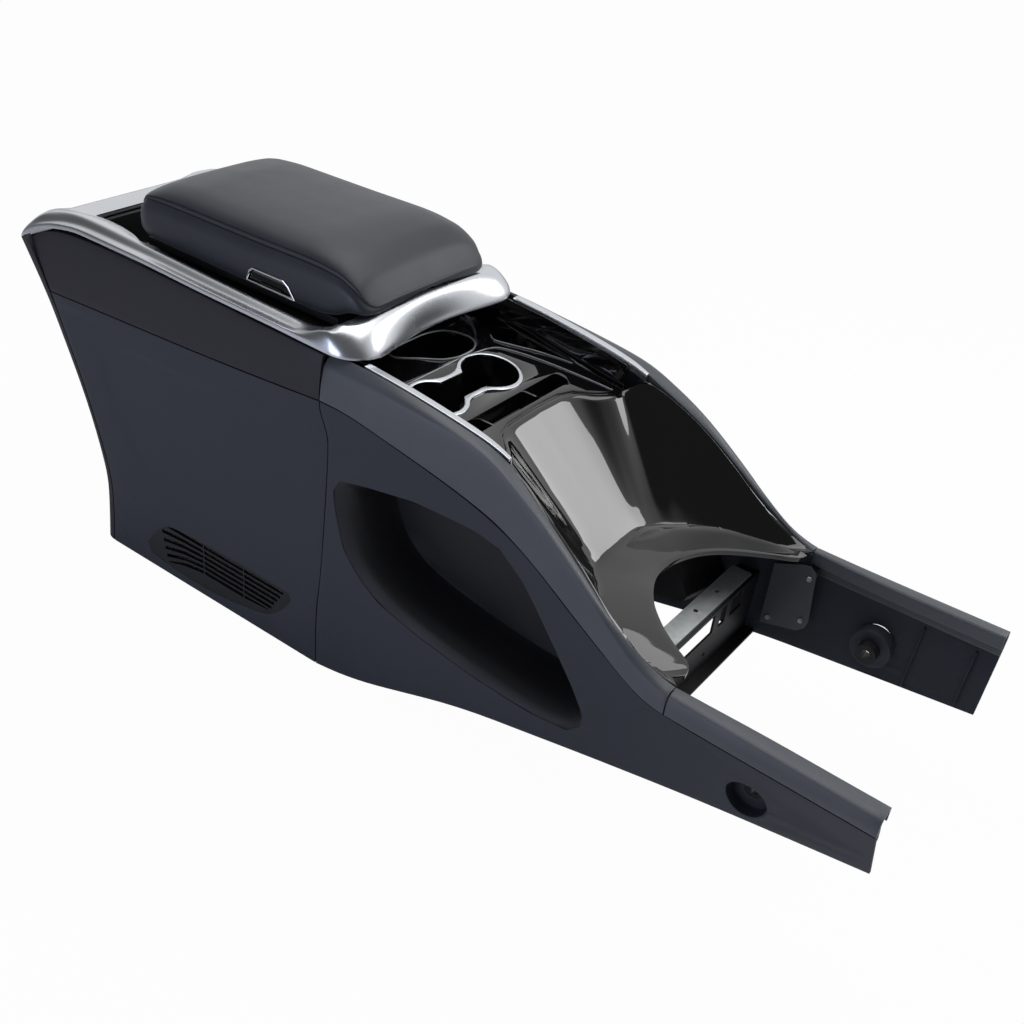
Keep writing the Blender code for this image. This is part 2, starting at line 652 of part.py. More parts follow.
def frame_loop(rear, front, wide_rear, wide_front, round_rear, round_front, height, taper_x=None,
               recess=0.0):
    """Closed outline of the frame at one place of its cross-section.

    The rear corners are ellipses; behind taper_x the opening narrows to the ledges; the cross bar
    stands back from its corners by the recess.
    """
    along, across = round_rear
    start = front - round_front if taper_x is None else taper_x
    straight = wide_front - round_front
    half = []
    for share in BAR_SHARES:
        half.append((front - recess * (1.0 - share * share) ** BAR_BEND, straight * share))
    for step in range(5):
        angle = math.radians(90.0 * step / 4)
        half.append((front - round_front + round_front * math.cos(angle),
                     wide_front - round_front + round_front * math.sin(angle)))
    for share in FRAME_SHARES:
        x = mix(front - round_front, rear + along, share)
        inward = max(0.0, (start - x) / (start - rear - along))
        if taper_x is not None:
            inward = inward ** LEDGE_BEND
        half.append((x, mix(wide_front, wide_rear, inward)))
    for step in range(4):
        angle = math.radians(90.0 + 90.0 * step / 3)
        half.append((rear + along + along * math.cos(angle),
                     wide_rear - across + across * math.sin(angle)))
    half.append((rear, 0.0))
    points = half + [(x, -y) for x, y in reversed(half[1:-1])]
    return [(x, y, height(x, y)) for x, y in points]


def front_arch(x, y, rise):
    """Rise of the cross bar of the frame towards the middle plane."""
    across = max(0.0, 1.0 - (y / FRAME_ARCH_W) ** 2)
    along = min(max((x - FRAME_ARCH_X[0]) / (FRAME_ARCH_X[1] - FRAME_ARCH_X[0]), 0.0), 1.0)
    return rise * across * along


def rear_sag(x, y, start, span, depth):
    """Drop of the rear bar of the frame between its two raised corners."""
    share = min(max((start - abs(y)) / span, 0.0), 1.0)
    return depth * share * share * (3.0 - 2.0 * share) if x < FRAME_SAG_X else 0.0


def make_trim_frame():
    """Satin frame round armrest and rear pocket: one closed, moulded ring."""
    def edge(x, y, lift=0.0):
        return curve(FRAME_EDGE_Z, x) + front_arch(x, y, BAR_EDGE_ARCH) + lift

    def middle(x, y, lift=0.0):
        z = mix(curve(FRAME_EDGE_Z, x - 0.012), curve(FRAME_RIDGE_Z, x + 0.012), 0.68)
        return z + front_arch(x, y, FRAME_ARCH) + lift - rear_sag(x, y, *MIDDLE_SAG)

    def ridge(x, y, lift=0.0):
        z = curve(FRAME_RIDGE_Z, x) + front_arch(x, y, FRAME_ARCH)
        return z + lift - rear_sag(x, y, *RIDGE_SAG)

    def inner(x, y, lift=0.0):
        z = curve(FRAME_RIDGE_Z, x) + front_arch(x, y, FRAME_ARCH) - 0.0030
        return z + lift - rear_sag(x, y, INNER_W, LEDGE_SPAN, curve(FRAME_LEDGE_SAG, x))

    def foot(x, y):
        low = curve(FRAME_RIDGE_Z, x) - FRAME_DROP
        if x > FRAME_FOOT_X:
            return low
        return max(low, inner(x, y) - FRAME_LIP)

    rear_w = FRAME_W - FRAME_REAR_IN
    rear_x, front_x, wall_t = FRAME_REAR_X, FRAME_FRONT_X, FRAME_WALL
    back, top_back = BAR_RECESS, BAR_TOP_RECESS
    loops = [frame_loop(rear_x, front_x, rear_w, FRAME_W, OUTER_ROUND, 0.038, edge, recess=back),
             frame_loop(rear_x + 0.0010, front_x - 0.0005, rear_w - 0.0002, FRAME_W - 0.0002,
                        OUTER_ROUND, 0.038, lambda x, y: edge(x, y, 0.004), recess=back),
             frame_loop(rear_x + 0.0300, front_x - 0.0150, rear_w - 0.0080, FRAME_W - 0.0080,
                        (0.024, 0.022), 0.032, lambda x, y: middle(x, y, 0.0035),
                        recess=top_back),
             frame_loop(rear_x + 0.0440, front_x - 0.0290, INNER_W + 0.0055, INNER_W + 0.0110,
                        (0.024, 0.016), 0.024, ridge, recess=top_back),
             frame_loop(FRAME_INNER_REAR_X, FRAME_INNER_X, LEDGE_W, INNER_W + 0.0005,
                        INNER_ROUND, 0.016, inner, FRAME_LEDGE_X),
             frame_loop(FRAME_INNER_REAR_X, FRAME_INNER_X, LEDGE_W, INNER_W + 0.0005,
                        INNER_ROUND, 0.016, foot, FRAME_LEDGE_X),
             frame_loop(FRAME_INNER_REAR_X - wall_t, FRAME_INNER_X + wall_t, LEDGE_W + wall_t,
                        INNER_W + 0.0005 + wall_t, (0.009, 0.009), 0.017, foot, FRAME_LEDGE_X),
             frame_loop(FRAME_INNER_REAR_X - 0.0080, FRAME_INNER_X + 0.0050, LEDGE_W + 0.0080,
                        INNER_W + 0.0050, (0.010, 0.010), 0.020, lambda x, y: inner(x, y, -0.0030),
                        FRAME_LEDGE_X),
             frame_loop(rear_x + 0.0325, front_x - 0.0175, rear_w - 0.0100, FRAME_W - 0.0100,
                        (0.024, 0.021), 0.032, middle, recess=top_back),
             frame_loop(rear_x + 0.0040, front_x - 0.0030, rear_w - 0.0030, FRAME_W - 0.0030,
                        (0.018, 0.017), 0.036, lambda x, y: edge(x, y, 0.0012), recess=back)]
    loft("trim_frame", loops, "satin", closed=True, smooth=True)


def make_trim_strips():
    """Satin strips beside the cup tray."""
    for label, side in SIDES:
        sections = []
        for x in (0.0445, 0.080, 0.120, 0.160, 0.195, 0.215, 0.2285):
            top = curve(RIM_Z, x)
            outer_w = curve(RIM_W, x) - GAP
            taper = 0.0 if x < 0.2 else (x - 0.2) / 0.0285 * 0.0020
            inner_w = DECK_W + GAP + taper
            profile = [(outer_w, top + 0.0006), (inner_w + 0.0012, top + 0.0002),
                       (inner_w, top - 0.0010), (inner_w, top - 0.0085),
                       (inner_w + TONGUE, top - 0.0085), (inner_w + TONGUE, top - 0.0030),
                       (outer_w, top - 0.0024)]
            sections.append([(x, side * w, z) for w, z in profile])
        loft("trim_strip_" + label, sections, "satin")


# Deck, cup insert and ramp
TRIM_STRIP_W = 0.0105
DECK_W = RIM_W[0][1] - TRIM_STRIP_W
DECK_WALL = 0.0022
DECK_REAR_X = -0.0110
DECK_BACK_X = -0.0060
DECK_STEP_X = 0.0300
DECK_STEP_Z = 0.3935
DECK_NECK_W = INNER_W - 0.0185
DECK_FRONT_X = 0.2070
PLANE_Z = 0.3640
PLANE_X = 0.0945
PLANE_FALL = 0.127
INSERT_STEP = 0.0020
FRONT_EDGE = ((0.0, 0.1660), (0.045, 0.1680), (0.066, 0.1750), (0.084, 0.1930), (0.100, 0.2030),
              (0.113, 0.2060))
REAR_POCKET = ((0.010, -0.047), (0.030, -0.024), (0.048, 0.000), (0.053, 0.020), (0.0525, 0.038),
               (0.046, 0.053), (0.034, 0.059), (0.017, 0.054), (0.003, 0.038), (-0.004, 0.010),
               (-0.004, -0.030), (0.001, -0.045))
SIDE_POCKET = ((0.044, 0.084), (0.053, 0.079), (0.075, 0.0895), (0.096, 0.1010), (0.120, 0.1105),
               (0.140, 0.1165), (0.050, 0.1165), (0.040, 0.110), (0.038, 0.096))
INSERT_FAR = ((0.0570, -0.1125), (0.0570, 0.000), (0.0620, 0.0520), (0.0680, 0.0660), (0.0800, 0.0740),
              (0.1000, 0.0830), (0.1400, 0.0945), (0.1850, 0.1035), (0.2020, 0.1060))
CUP_LOBES = ((0.0940, 0.0180, 0.0330), (0.0930, -0.0720, 0.0305))
CUP_NECK = 0.0160
CUP_DEPTH = 0.058
RING_W = 0.0056
RING_TOP = 0.0018
PHONE_SLOT = (0.1390, 0.1600, -0.1000, 0.0800)
PHONE_DEPTH = 0.024
PHONE_RIBS_Y = (-0.056, 0.028)


def plane_z(x):
    """Height of the sloping top of the cup insert."""
    return PLANE_Z - PLANE_FALL * (x - PLANE_X)


def sloped(name, outline, top, depth, look="gloss"):
    """Body with its top on the sloping tray plane and a level depth below it."""
    upper = [(x, y, plane_z(x) + top) for x, y in outline]
    lower = [(x, y, plane_z(x) + top - depth) for x, y in outline]
    return loft(name, [lower, upper], look)


def rounded(low, high, radius, steps=3):
    """Rounded rectangle in plan between two corners."""
    points = []
    for cx, cy, start in ((high[0] - radius, high[1] - radius, 0.0),
                          (low[0] + radius, high[1] - radius, 90.0),
                          (low[0] + radius, low[1] + radius, 180.0),
                          (high[0] - radius, low[1] + radius, 270.0)):
        for i in range(steps + 1):
            angle = math.radians(start + 90.0 * i / steps)
            points.append((cx + radius * math.cos(angle), cy + radius * math.sin(angle)))
    return points


def cup_outline(grow, count=11):
    """Outline of the two joined cup lobes in plan."""
    points = []
    big, small = CUP_LOBES
    neck = CUP_NECK + grow
    for lobe, sign in ((big, 1.0), (small, -1.0)):
        radius = lobe[2] + grow
        open_angle = math.asin(min(neck / radius, 0.99))
        for i in range(count):
            share = i / (count - 1)
            angle = mix(-math.pi / 2.0 + open_angle, 1.5 * math.pi - open_angle, share)
            points.append((lobe[0] + radius * math.cos(angle),
                           lobe[1] + sign * radius * math.sin(angle)))
    big_part = points[:count]
    small_part = points[count:]
    small_part.reverse()
    return big_part + small_part


def make_deck():
    """Gloss tray round the cup insert with the oblong and the two side pockets moulded in."""
    sections = []
    for x in (DECK_REAR_X, 0.040, 0.090, 0.140, 0.180, DECK_FRONT_X):
        floor = plane_z(x) - INSERT_STEP
        top = curve(RIM_Z, max(x, 0.0)) - 0.0030
        if x < DECK_STEP_X:
            top = DECK_STEP_Z
        profile = [(-DECK_W, top), (-DECK_W, floor - THIN), (DECK_W, floor - THIN), (DECK_W, top),
                   (DECK_W - DECK_WALL, top), (DECK_W - DECK_WALL, floor),
                   (DECK_WALL - DECK_W, floor), (DECK_WALL - DECK_W, top)]
        sections.append([(x, y, z) for y, z in profile])
    deck = loft("deck", sections, "gloss")
    rear_low = plane_z(DECK_REAR_X) - INSERT_STEP - THIN / 2.0
    back_top = curve(FRAME_RIDGE_Z, FRAME_INNER_X) - FRAME_DROP - GAP
    wide, narrow = DECK_W - GAP, DECK_NECK_W
    half = [(wide, rear_low), (wide, DECK_STEP_Z - GAP), (narrow, DECK_STEP_Z - GAP), (narrow, back_top)]
    outline = half + [(-y, z) for y, z in reversed(half)]
    back = prism("back", outline, "x", DECK_REAR_X, DECK_BACK_X)
    tubs = [back, sloped("tub", grown(REAR_POCKET, 0.002), -INSERT_STEP - 0.001, 0.032)]
    hollows = [sloped("hollow", REAR_POCKET, 0.004, 0.034)]
    shell = [(x, min(y, DECK_W - 0.0004)) for x, y in grown(SIDE_POCKET, 0.002)]
    tubs.append(sloped("tub", shell, -INSERT_STEP - 0.001, 0.024))
    hollows.append(sloped("hollow", SIDE_POCKET, 0.004, 0.026))
    fuse(deck, *tubs)
    edge_x = FRONT_EDGE[-1][1]
    half = [(x, y) for y, x in FRONT_EDGE] + [(edge_x, 0.13), (DECK_FRONT_X + 0.02, 0.13)]
    nose = [(x, -y) for x, y in reversed(half)] + half[1:]
    hollows.append(sloped("nose", nose, 0.05, 0.09))
    wells = [(x, y) for x, y in cup_outline(0.0062)]
    hollows.append(sloped("wells", wells, 0.01, 0.05))
    slot = rounded((PHONE_SLOT[0] - 0.0035, PHONE_SLOT[2] - 0.0035),
                   (PHONE_SLOT[1] + 0.0035, PHONE_SLOT[3] + 0.0035), 0.009)
    hollows.append(sloped("slot", slot, 0.01, 0.05))
    cut(deck, *hollows)


def insert_outline():
    """Plan outline of the cup insert."""
    points = list(INSERT_FAR)
    for y, x in reversed(FRONT_EDGE[:-1]):
        points.append((x - 0.0025, y))
    for y, x in FRONT_EDGE[1:-1]:
        points.append((x - 0.0025, -y))
    points.append((0.2020, -0.1125))
    return points


def make_cup_insert():
    """Insert with the two-lobe cup well and the phone slot with its ribs."""
    insert = sloped("cup_insert", insert_outline(), 0.0, INSERT_STEP - GAP)
    well = cup_outline(0.0)
    tub = sloped("well", cup_outline(0.0022), -0.0008, CUP_DEPTH)
    slot_box = rounded((PHONE_SLOT[0], PHONE_SLOT[2]), (PHONE_SLOT[1], PHONE_SLOT[3]), 0.007)
    slot_tub = sloped("slot_tub", grown(slot_box, 0.0022), -0.0008, PHONE_DEPTH)
    fuse(insert, tub, slot_tub)
    cut(insert, sloped("well_cut", well, 0.01, CUP_DEPTH + 0.0075),
        sloped("slot_cut", slot_box, 0.01, PHONE_DEPTH + 0.0075))
    ribs = []
    for y in PHONE_RIBS_Y:
        low = plane_z(PHONE_SLOT[1]) - PHONE_DEPTH
        ribs.append(block("rib", (PHONE_SLOT[0] - 0.001, y - 0.0012, low - 0.0005),
                          (PHONE_SLOT[1] + 0.001, y + 0.0012, plane_z(PHONE_SLOT[1]) - 0.0035)))
    fuse(insert, *ribs)


def make_cup_ring():
    """Satin ring that follows the edge of the two cup lobes."""
    loops = []
    for grow, height in ((0.0002, GAP), (0.0002, RING_TOP * 0.6), (0.0014, RING_TOP),
                         (RING_W - 0.0014, RING_TOP), (RING_W, RING_TOP * 0.6), (RING_W, GAP)):
        loops.append([(x, y, plane_z(x) + height) for x, y in cup_outline(grow)])
    loft("cup_ring", loops, "satin", closed=True, smooth=True)


# Ramp: height of its side edge, fold and cut-out edge from arm tip to middle
RAMP_SIDE_Z = ((0.2300, 0.3640), (0.2500, 0.3580), (0.2950, 0.3320), (0.3400, 0.3000),
               (0.3750, 0.2715), (0.4123, 0.2480), (0.4300, 0.2400), (0.4524, 0.2345))
RAMP_TOP_X = 0.2300
RAMP_TOP_Z = ((0.0, 0.3528), (0.045, 0.3525), (0.066, 0.3515), (0.084, 0.3492), (0.113, 0.3490))
RAMP_SET = 0.0007
RAMP_FOLD = ((0.4430, 0.1405, 0.2352), (0.4270, 0.1388, 0.2326), (0.4129, 0.1360, 0.2323),
             (0.3874, 0.1270, 0.2341), (0.3620, 0.1145, 0.2378), (0.3420, 0.1015, 0.2392),
             (0.3270, 0.0885, 0.2402), (0.3165, 0.0765, 0.2408), (0.3080, 0.0665, 0.2412),
             (0.3015, 0.0560, 0.2418), (0.2980, 0.0470, 0.2425), (0.2964, 0.0360, 0.2434),
             (0.2960, 0.0200, 0.2442), (0.2960, 0.0, 0.2445))
RAMP_CUT = ((0.4522, 0.1330, 0.2372), (0.4505, 0.1240, 0.2384), (0.4455, 0.1170, 0.2392),
            (0.4234, 0.1030, 0.2394), (0.4022, 0.0880, 0.2398), (0.3900, 0.0775, 0.2405),
            (0.3790, 0.0665, 0.2410), (0.3705, 0.0555, 0.2414), (0.3640, 0.0450, 0.2415),
            (0.3590, 0.0350, 0.2412), (0.3555, 0.0260, 0.2408), (0.3532, 0.0170, 0.2405),
            (0.3520, 0.0090, 0.2402), (0.3515, 0.0, 0.2400))
RAMP_T = 0.0030
RAMP_LIP = 0.0060
RAMP_LIP_T = 0.0022
RAMP_FLANGE = 0.007
RAMP_FLANGE_DROP = 0.0012


def ramp_edge():
    """Outer edge of the ramp from arm tip along the rail and across the front of the deck."""
    line = []
    for x in RAIL_LOW_X + (RAMP_TOP_X,):
        line.append(Vector((x, curve(RIM_W, x) - 2.0 * GAP, curve(RAMP_SIDE_Z, x))))
    for y, x in reversed(FRONT_EDGE):
        line.append(Vector((x + RAMP_SET, y, curve(RAMP_TOP_Z, y))))
    return line


def make_ramp():
    """Concave gloss ramp that runs from the deck down to the U-shaped cut-out."""
    outer = ramp_edge()
    fold = [Vector(p) for p in RAMP_FOLD]
    edge = [Vector(p) for p in RAMP_CUT]
    flange = []
    for a, b in zip(outer, fold):
        share = min(0.35, RAMP_FLANGE / (b - a).length)
        flat = a.lerp(b, share)
        if a.z > 0.25:
            flat.z = a.z - RAMP_FLANGE_DROP
        flange.append(flat)
    rings = [outer, flange]
    for share, drop in ((0.40, -0.0035), (0.78, -0.0055)):
        ring = []
        for a, b in zip(flange, fold):
            point = a.lerp(b, share)
            point.z += drop * (a.z - b.z) / 0.11
            ring.append(point)
        rings.append(ring)
    rings += [fold, edge]
    below = [[p - Vector((0.0, 0.0, RAMP_T)) for p in ring] for ring in rings]
    inward = []
    for a, b in zip(edge, fold):
        away = Vector((b.x - a.x, b.y - a.y, 0.0)).normalized() * RAMP_LIP_T
        inward.append(a + away)
    below[-1] = [p - Vector((0.0, 0.0, RAMP_T)) for p in inward]
    rings.append([p - Vector((0.0, 0.0, RAMP_LIP)) for p in edge])
    below.append([p - Vector((0.0, 0.0, RAMP_LIP)) for p in inward])

    def both_halves(ring):
        line = [(p.x, -p.y, p.z) for p in ring]
        return line + [(p.x, p.y, p.z) for p in reversed(ring[:-1])]

    wall("ramp", [both_halves(r) for r in rings], [both_halves(r) for r in below], "gloss",
         smooth=True)


# Lid hinge along the far side and latch on the near side
HINGE_Y = INNER_W - 0.0043
HINGE_Z = 0.4180
HINGE = (-0.170, HINGE_Y, HINGE_Z)
HINGE_R = 0.0026
PIN_R = 0.0011
HINGES_X = (-0.262, -0.078)
KNUCKLE = 0.012
FIXED_KNUCKLE = 0.009
KNUCKLE_GAP = 0.0004
LEAF_T = 0.0030
BASE_LOW_Z = 0.4120
BASE_TOP_Z = 0.4212
BASE_FRONT_X = -0.0240
BASE_REAR_X = -0.3200
BASE_W = INNER_W - 0.0160
LATCH_FACE = ((-0.1520, 0.4255), (-0.1460, 0.4395), (-0.1410, 0.4435), (-0.0950, 0.4435),
              (-0.0870, 0.4385), (-0.0770, 0.4255))
LATCH_FRONT_Y = 0.0063 - INNER_W
LATCH_BACK_Y = 0.0175 - INNER_W
LATCH_BAR = 0.0026
LEVER_GAP = 0.0008
LEVER_Y = (0.0090 - INNER_W, 0.0117 - INNER_W)
LEVER_PIVOT = (-0.1145, LEVER_Y[1], 0.4385)
LUG_X = 0.010
LUG_REACH = 0.0025
PIN_ENDS_X = (-0.1412, -0.0945)
LEVER_PIN_R = 0.0009

# Armrest pad
PAD_UNDER_Z = ((-0.338, 0.4300), (-0.320, 0.4250), (-0.280, 0.4225), (-0.060, 0.4215),
               (-0.040, 0.4230), (-0.020, 0.4280), (-0.008, 0.4340), (0.004, 0.4362),
               (0.017, 0.4368))
PAD_SEAM_Z = ((-0.338, 0.4420), (-0.331, 0.4560), (-0.318, 0.4660), (-0.290, 0.4670),
              (-0.150, 0.4660), (-0.050, 0.4700), (-0.020, 0.4665), (-0.001, 0.4590),
              (0.012, 0.4480), (0.017, 0.4430))
PAD_CROWN = ((-0.338, 0.0030), (-0.331, 0.0075), (-0.318, 0.0130), (-0.295, 0.0215),
             (-0.250, 0.0265), (-0.060, 0.0265), (-0.020, 0.0215), (0.0, 0.0155), (0.012, 0.0090),
             (0.017, 0.0055))
PAD_SIDE_GAP = 0.0075
PAD_EDGE_IN = ((-0.338, 0.0220), (-0.335, 0.0130), (-0.328, 0.0060), (-0.310, 0.0010),
               (-0.050, 0.0), (-0.005, 0.0010), (0.008, 0.0035), (0.014, 0.0085), (0.017, 0.0160))
PAD_ARCH = ((-0.045, 0.0), (-0.018, 0.0064), (0.017, 0.0060))
PAD_STATIONS = (-0.338, -0.335, -0.328, -0.316, -0.298, -0.260, -0.180, -0.100, -0.060, -0.035,
                -0.015, 0.000, 0.009, 0.014, 0.017)
PAD_DOME = ((0.950, 0.22), (0.860, 0.58), (0.660, 0.87), (0.340, 0.98))


def make_pad():
    """Leather pad with a crowned top that rolls down at the front."""
    sections = []
    for x in PAD_STATIONS:
        low, seam = curve(PAD_UNDER_Z, x), curve(PAD_SEAM_Z, x)
        crown, arch = curve(PAD_CROWN, x), curve(PAD_ARCH, x)
        wide = INNER_W - PAD_SIDE_GAP - curve(PAD_EDGE_IN, x)
        half = [(wide - 0.0060, low),
                (wide - 0.0010, low + (seam - low) * 0.16),
                (wide, mix(low, seam, 0.5)), (wide - 0.0015, mix(low, seam, 0.85)),
                (wide - 0.0055, seam + crown * 0.05)]
        half += [(wide * w, seam + crown * z) for w, z in PAD_DOME]
        line = [(x, y, z) for y, z in half] + [(x, 0.0, seam + crown)]
        line += [(x, -y, z) for y, z in reversed(half)] + [(x, 0.0, low + arch)]
        sections.append(line)
    pad = loft("armrest_pad", sections, "leather", origin=HINGE, smooth=True)
    cut(pad, prism("recess", grown(LATCH_FACE, GAP), "y", -0.12, LATCH_BACK_Y + GAP))


def make_lid_base():
    """Stiff base under the pad with the moving hinge knuckles."""
    base = block("lid_base", (BASE_REAR_X, -BASE_W, BASE_LOW_Z), (BASE_FRONT_X, BASE_W, BASE_TOP_Z),
                 "inner", HINGE)
    extra, bores = [], []
    for x in HINGES_X:
        extra.append(block("leaf", (x - KNUCKLE, BASE_W - 0.004, HINGE_Z - LEAF_T / 2.0),
                           (x + KNUCKLE, HINGE_Y, HINGE_Z + LEAF_T / 2.0)))
        extra.append(pipe("knuckle", (HINGE_Y, HINGE_Z), "x", x - KNUCKLE, x + KNUCKLE,
                          HINGE_R, 0.0, "inner", 6))
        bores.append(pipe("bore", (HINGE_Y, HINGE_Z), "x", x - 0.03, x + 0.03,
                          PIN_R + GAP, 0.0, "inner", 6))
    fuse(base, *extra)
    cut(base, *bores)
    for x, label in zip(HINGES_X, ("rear", "front")):
        reach = KNUCKLE + KNUCKLE_GAP + FIXED_KNUCKLE
        pipe("hinge_pin_" + label, (HINGE_Y, HINGE_Z), "x", x - reach, x + reach, PIN_R, 0.0,
             "steel", 6)


def make_latch():
    """Bezel in the near side of the pad with the pull lever on its pin."""
    bezel = prism("latch_bezel", LATCH_FACE, "y", LATCH_FRONT_Y, LATCH_BACK_Y, "chrome")
    cut(bezel, prism("window", grown(LATCH_FACE, -LATCH_BAR), "y", -0.12, -0.09))
    lever = prism("latch_lever", grown(LATCH_FACE, -LATCH_BAR - LEVER_GAP), "y", LEVER_Y[0],
                  LEVER_Y[1], "gloss")
    pivot_x, pivot_y, pivot_z = LEVER_PIVOT
    lugs = []
    for x in (pivot_x - LUG_X, pivot_x + LUG_X):
        lugs.append(block("lug", (x - 0.002, LEVER_Y[1] - 0.0006, pivot_z - 0.0024),
                          (x + 0.002, pivot_y + LUG_REACH, pivot_z + 0.0014)))
    ledge = block("ledge", (-0.130, LEVER_Y[0] - 0.0016, 0.4286), (-0.098, LEVER_Y[0] + 0.0004, 0.4300))
    fuse(lever, ledge, *lugs)
    cut(lever, pipe("bore", (pivot_y, pivot_z), "x", pivot_x - 0.04, pivot_x + 0.04,
                    LEVER_PIN_R + GAP, 0.0, "gloss", 6))
    move_origin(lever, LEVER_PIVOT)
    pipe("latch_pin", (pivot_y, pivot_z), "x", PIN_ENDS_X[0], PIN_ENDS_X[1], LEVER_PIN_R, 0.0, "steel", 6)


def move_origin(made, point):
    """Put the origin of a body at a point without moving its shape."""
    target = Vector(point) + Vector((JOINT_X, 0.0, 0.0))
    shift = made.location - target
    for vertex in made.data.vertices:
        vertex.co += shift
    made.location = target


# Storage bin, rear pocket and the cross walls that carry them
BIN_TOP_Z = 0.4085
BIN_FLOOR_Z = 0.1350
BIN_TOP = (-0.3160, -0.0280, INNER_W - 0.0195)
BIN_BOTTOM = (-0.3000, -0.0400, INNER_W - 0.0285)
BIN_RIM = (-0.3305, -0.0125, INNER_W - 0.0030)
BIN_WALL = 0.0025
BULKHEAD_T = 0.0030
BULKHEADS = (("rear", -0.3300), ("mid", -0.0145))
BULKHEAD_LOW_Z = 0.0250
SHOULDER_CUT_Z = (0.300, 0.335)
NECK_W = INNER_W - 0.0045
BACK_BOX = (-0.4300, -0.3306, INNER_W - 0.0045)
BACK_BOX_IN_W = LEDGE_W - 0.0010
BACK_BOX_TOP_Z = 0.4042
BACK_BOX_DEPTH = 0.0562
BACK_BOX_FLOOR_Z = BACK_BOX_TOP_Z - BACK_BOX_DEPTH
BACK_BOX_WALL = 0.0022


def make_bin():
    """Box under the lid with its rim and the fixed hinge knuckles."""
    def ring(x0, x1, w, z, radius):
        return [(x, y, z) for x, y in rounded((x0, -w), (x1, w), radius, 2)]

    top, low = BIN_TOP, BIN_BOTTOM
    t = BIN_WALL
    rings = [ring(low[0], low[1], low[2], BIN_FLOOR_Z + t, 0.010),
             ring(top[0], top[1], top[2], BIN_TOP_Z, 0.010),
             ring(BIN_RIM[0], BIN_RIM[1], BIN_RIM[2], BIN_TOP_Z, 0.006),
             ring(BIN_RIM[0], BIN_RIM[1], BIN_RIM[2], BIN_TOP_Z - t, 0.006),
             ring(top[0] - t, top[1] + t, top[2] + t, BIN_TOP_Z - t, 0.012),
             ring(low[0] - t, low[1] + t, low[2] + t, BIN_FLOOR_Z, 0.012)]
    box = loft("storage_bin", rings, "inner")
    extra, bores = [], []
    for x in HINGES_X:
        for sign in (-1.0, 1.0):
            near = x + sign * (KNUCKLE + KNUCKLE_GAP)
            far = near + sign * FIXED_KNUCKLE
            low_x, high_x = min(near, far), max(near, far)
            extra.append(block("leaf", (low_x, HINGE_Y - 0.0018, BIN_TOP_Z - t),
                               (high_x, HINGE_Y + 0.0012, HINGE_Z)))
            extra.append(pipe("knuckle", (HINGE_Y, HINGE_Z), "x", low_x, high_x, HINGE_R, 0.0,
                              "inner", 6))
        bores.append(pipe("bore", (HINGE_Y, HINGE_Z), "x", x - 0.03, x + 0.03, PIN_R + GAP, 0.0,
                          "inner", 6))
    fuse(box, *extra)
    cut(box, *bores)


def make_rear_pocket():
    """Small open pocket behind the pad."""
    x0, x1, w = BACK_BOX
    t = BACK_BOX_WALL

    def ring(inset, wide, z, radius):
        return [(x, y, z) for x, y in rounded((x0 + inset, -wide), (x1 - inset, wide), radius, 2)]

    inside = BACK_BOX_IN_W
    rings = [ring(t + 0.010, inside - 0.006, BACK_BOX_FLOOR_Z + t, 0.006),
             ring(t + 0.004, inside, BACK_BOX_TOP_Z, 0.006),
             ring(0.0, w, BACK_BOX_TOP_Z, 0.010), ring(0.0, w, BACK_BOX_TOP_Z - t, 0.010),
             ring(0.004, inside + t, BACK_BOX_TOP_Z - t, 0.006),
             ring(0.010, inside + t - 0.006, BACK_BOX_FLOOR_Z, 0.008)]
    loft("rear_pocket", rings, "inner")


def make_bulkheads():
    """Cross walls between the side panels that carry bin, deck and rear pocket."""
    inside = SIDE_W - WALL - GAP
    for label, x in BULKHEADS:
        low_cut, high_cut = SHOULDER_CUT_Z
        top = BIN_TOP_Z - BIN_WALL - GAP
        half = [(inside, BULKHEAD_LOW_Z), (inside, low_cut), (NECK_W, high_cut), (NECK_W, top)]
        outline = [(-y, z) for y, z in half] + [(y, z) for y, z in reversed(half)]
        prism("bulkhead_" + label, outline, "x", x, x + BULKHEAD_T)


# Front cross members and what is screwed to the arms
STRAP_X = (0.3700, 0.3945)
STRAP_Z = 0.1800
STRAP_T = 0.0020
STRAP_W = SIDE_W - 0.0100
STRAP_HOLES_Y = (-0.082, -0.034, 0.034, 0.082)
STRAP_HOLE_R = 0.0030
STRAP_HOLE_X = 0.3810
CARRIER_X = 0.3985
CARRIER_T = 0.0025
CARRIER_LOW_Z = 0.1030
CARRIER_FOOT_X = 0.4120
CARRIER_HEAD_X = 0.3730
CARRIER_WINDOWS = ((-0.118, -0.090), (-0.078, -0.064), (-0.050, 0.050), (0.064, 0.078),
                   (0.090, 0.118))
CARRIER_WINDOW_Z = (0.1490, 0.1740)
CARRIER_HOLE_R = 0.0030
CARRIER_HOLES_Y = (-0.040, 0.040)
CARRIER_HOLE_Z = 0.1250
PLATE_OUTLINE = ((0.4170, 0.1230), (0.4600, 0.1340), (0.4690, 0.1420), (0.4715, 0.1520),
                 (0.4660, 0.2140), (0.4580, 0.2210), (0.4480, 0.2190), (0.4170, 0.2060))
PLATE_Y = SIDE_W - 0.0100
PLATE_T = 0.0016
PLATE_SCREWS = ((0.4600, 0.2060), (0.4625, 0.1500), (0.4250, 0.1350))
SCREW_HEAD_R = 0.0038
SCREW_HEAD = 0.0024
SCREW_R = 0.0016
SCREW_LENGTH = 0.0075
POST_R = 0.0042
POST_SET = 0.0008


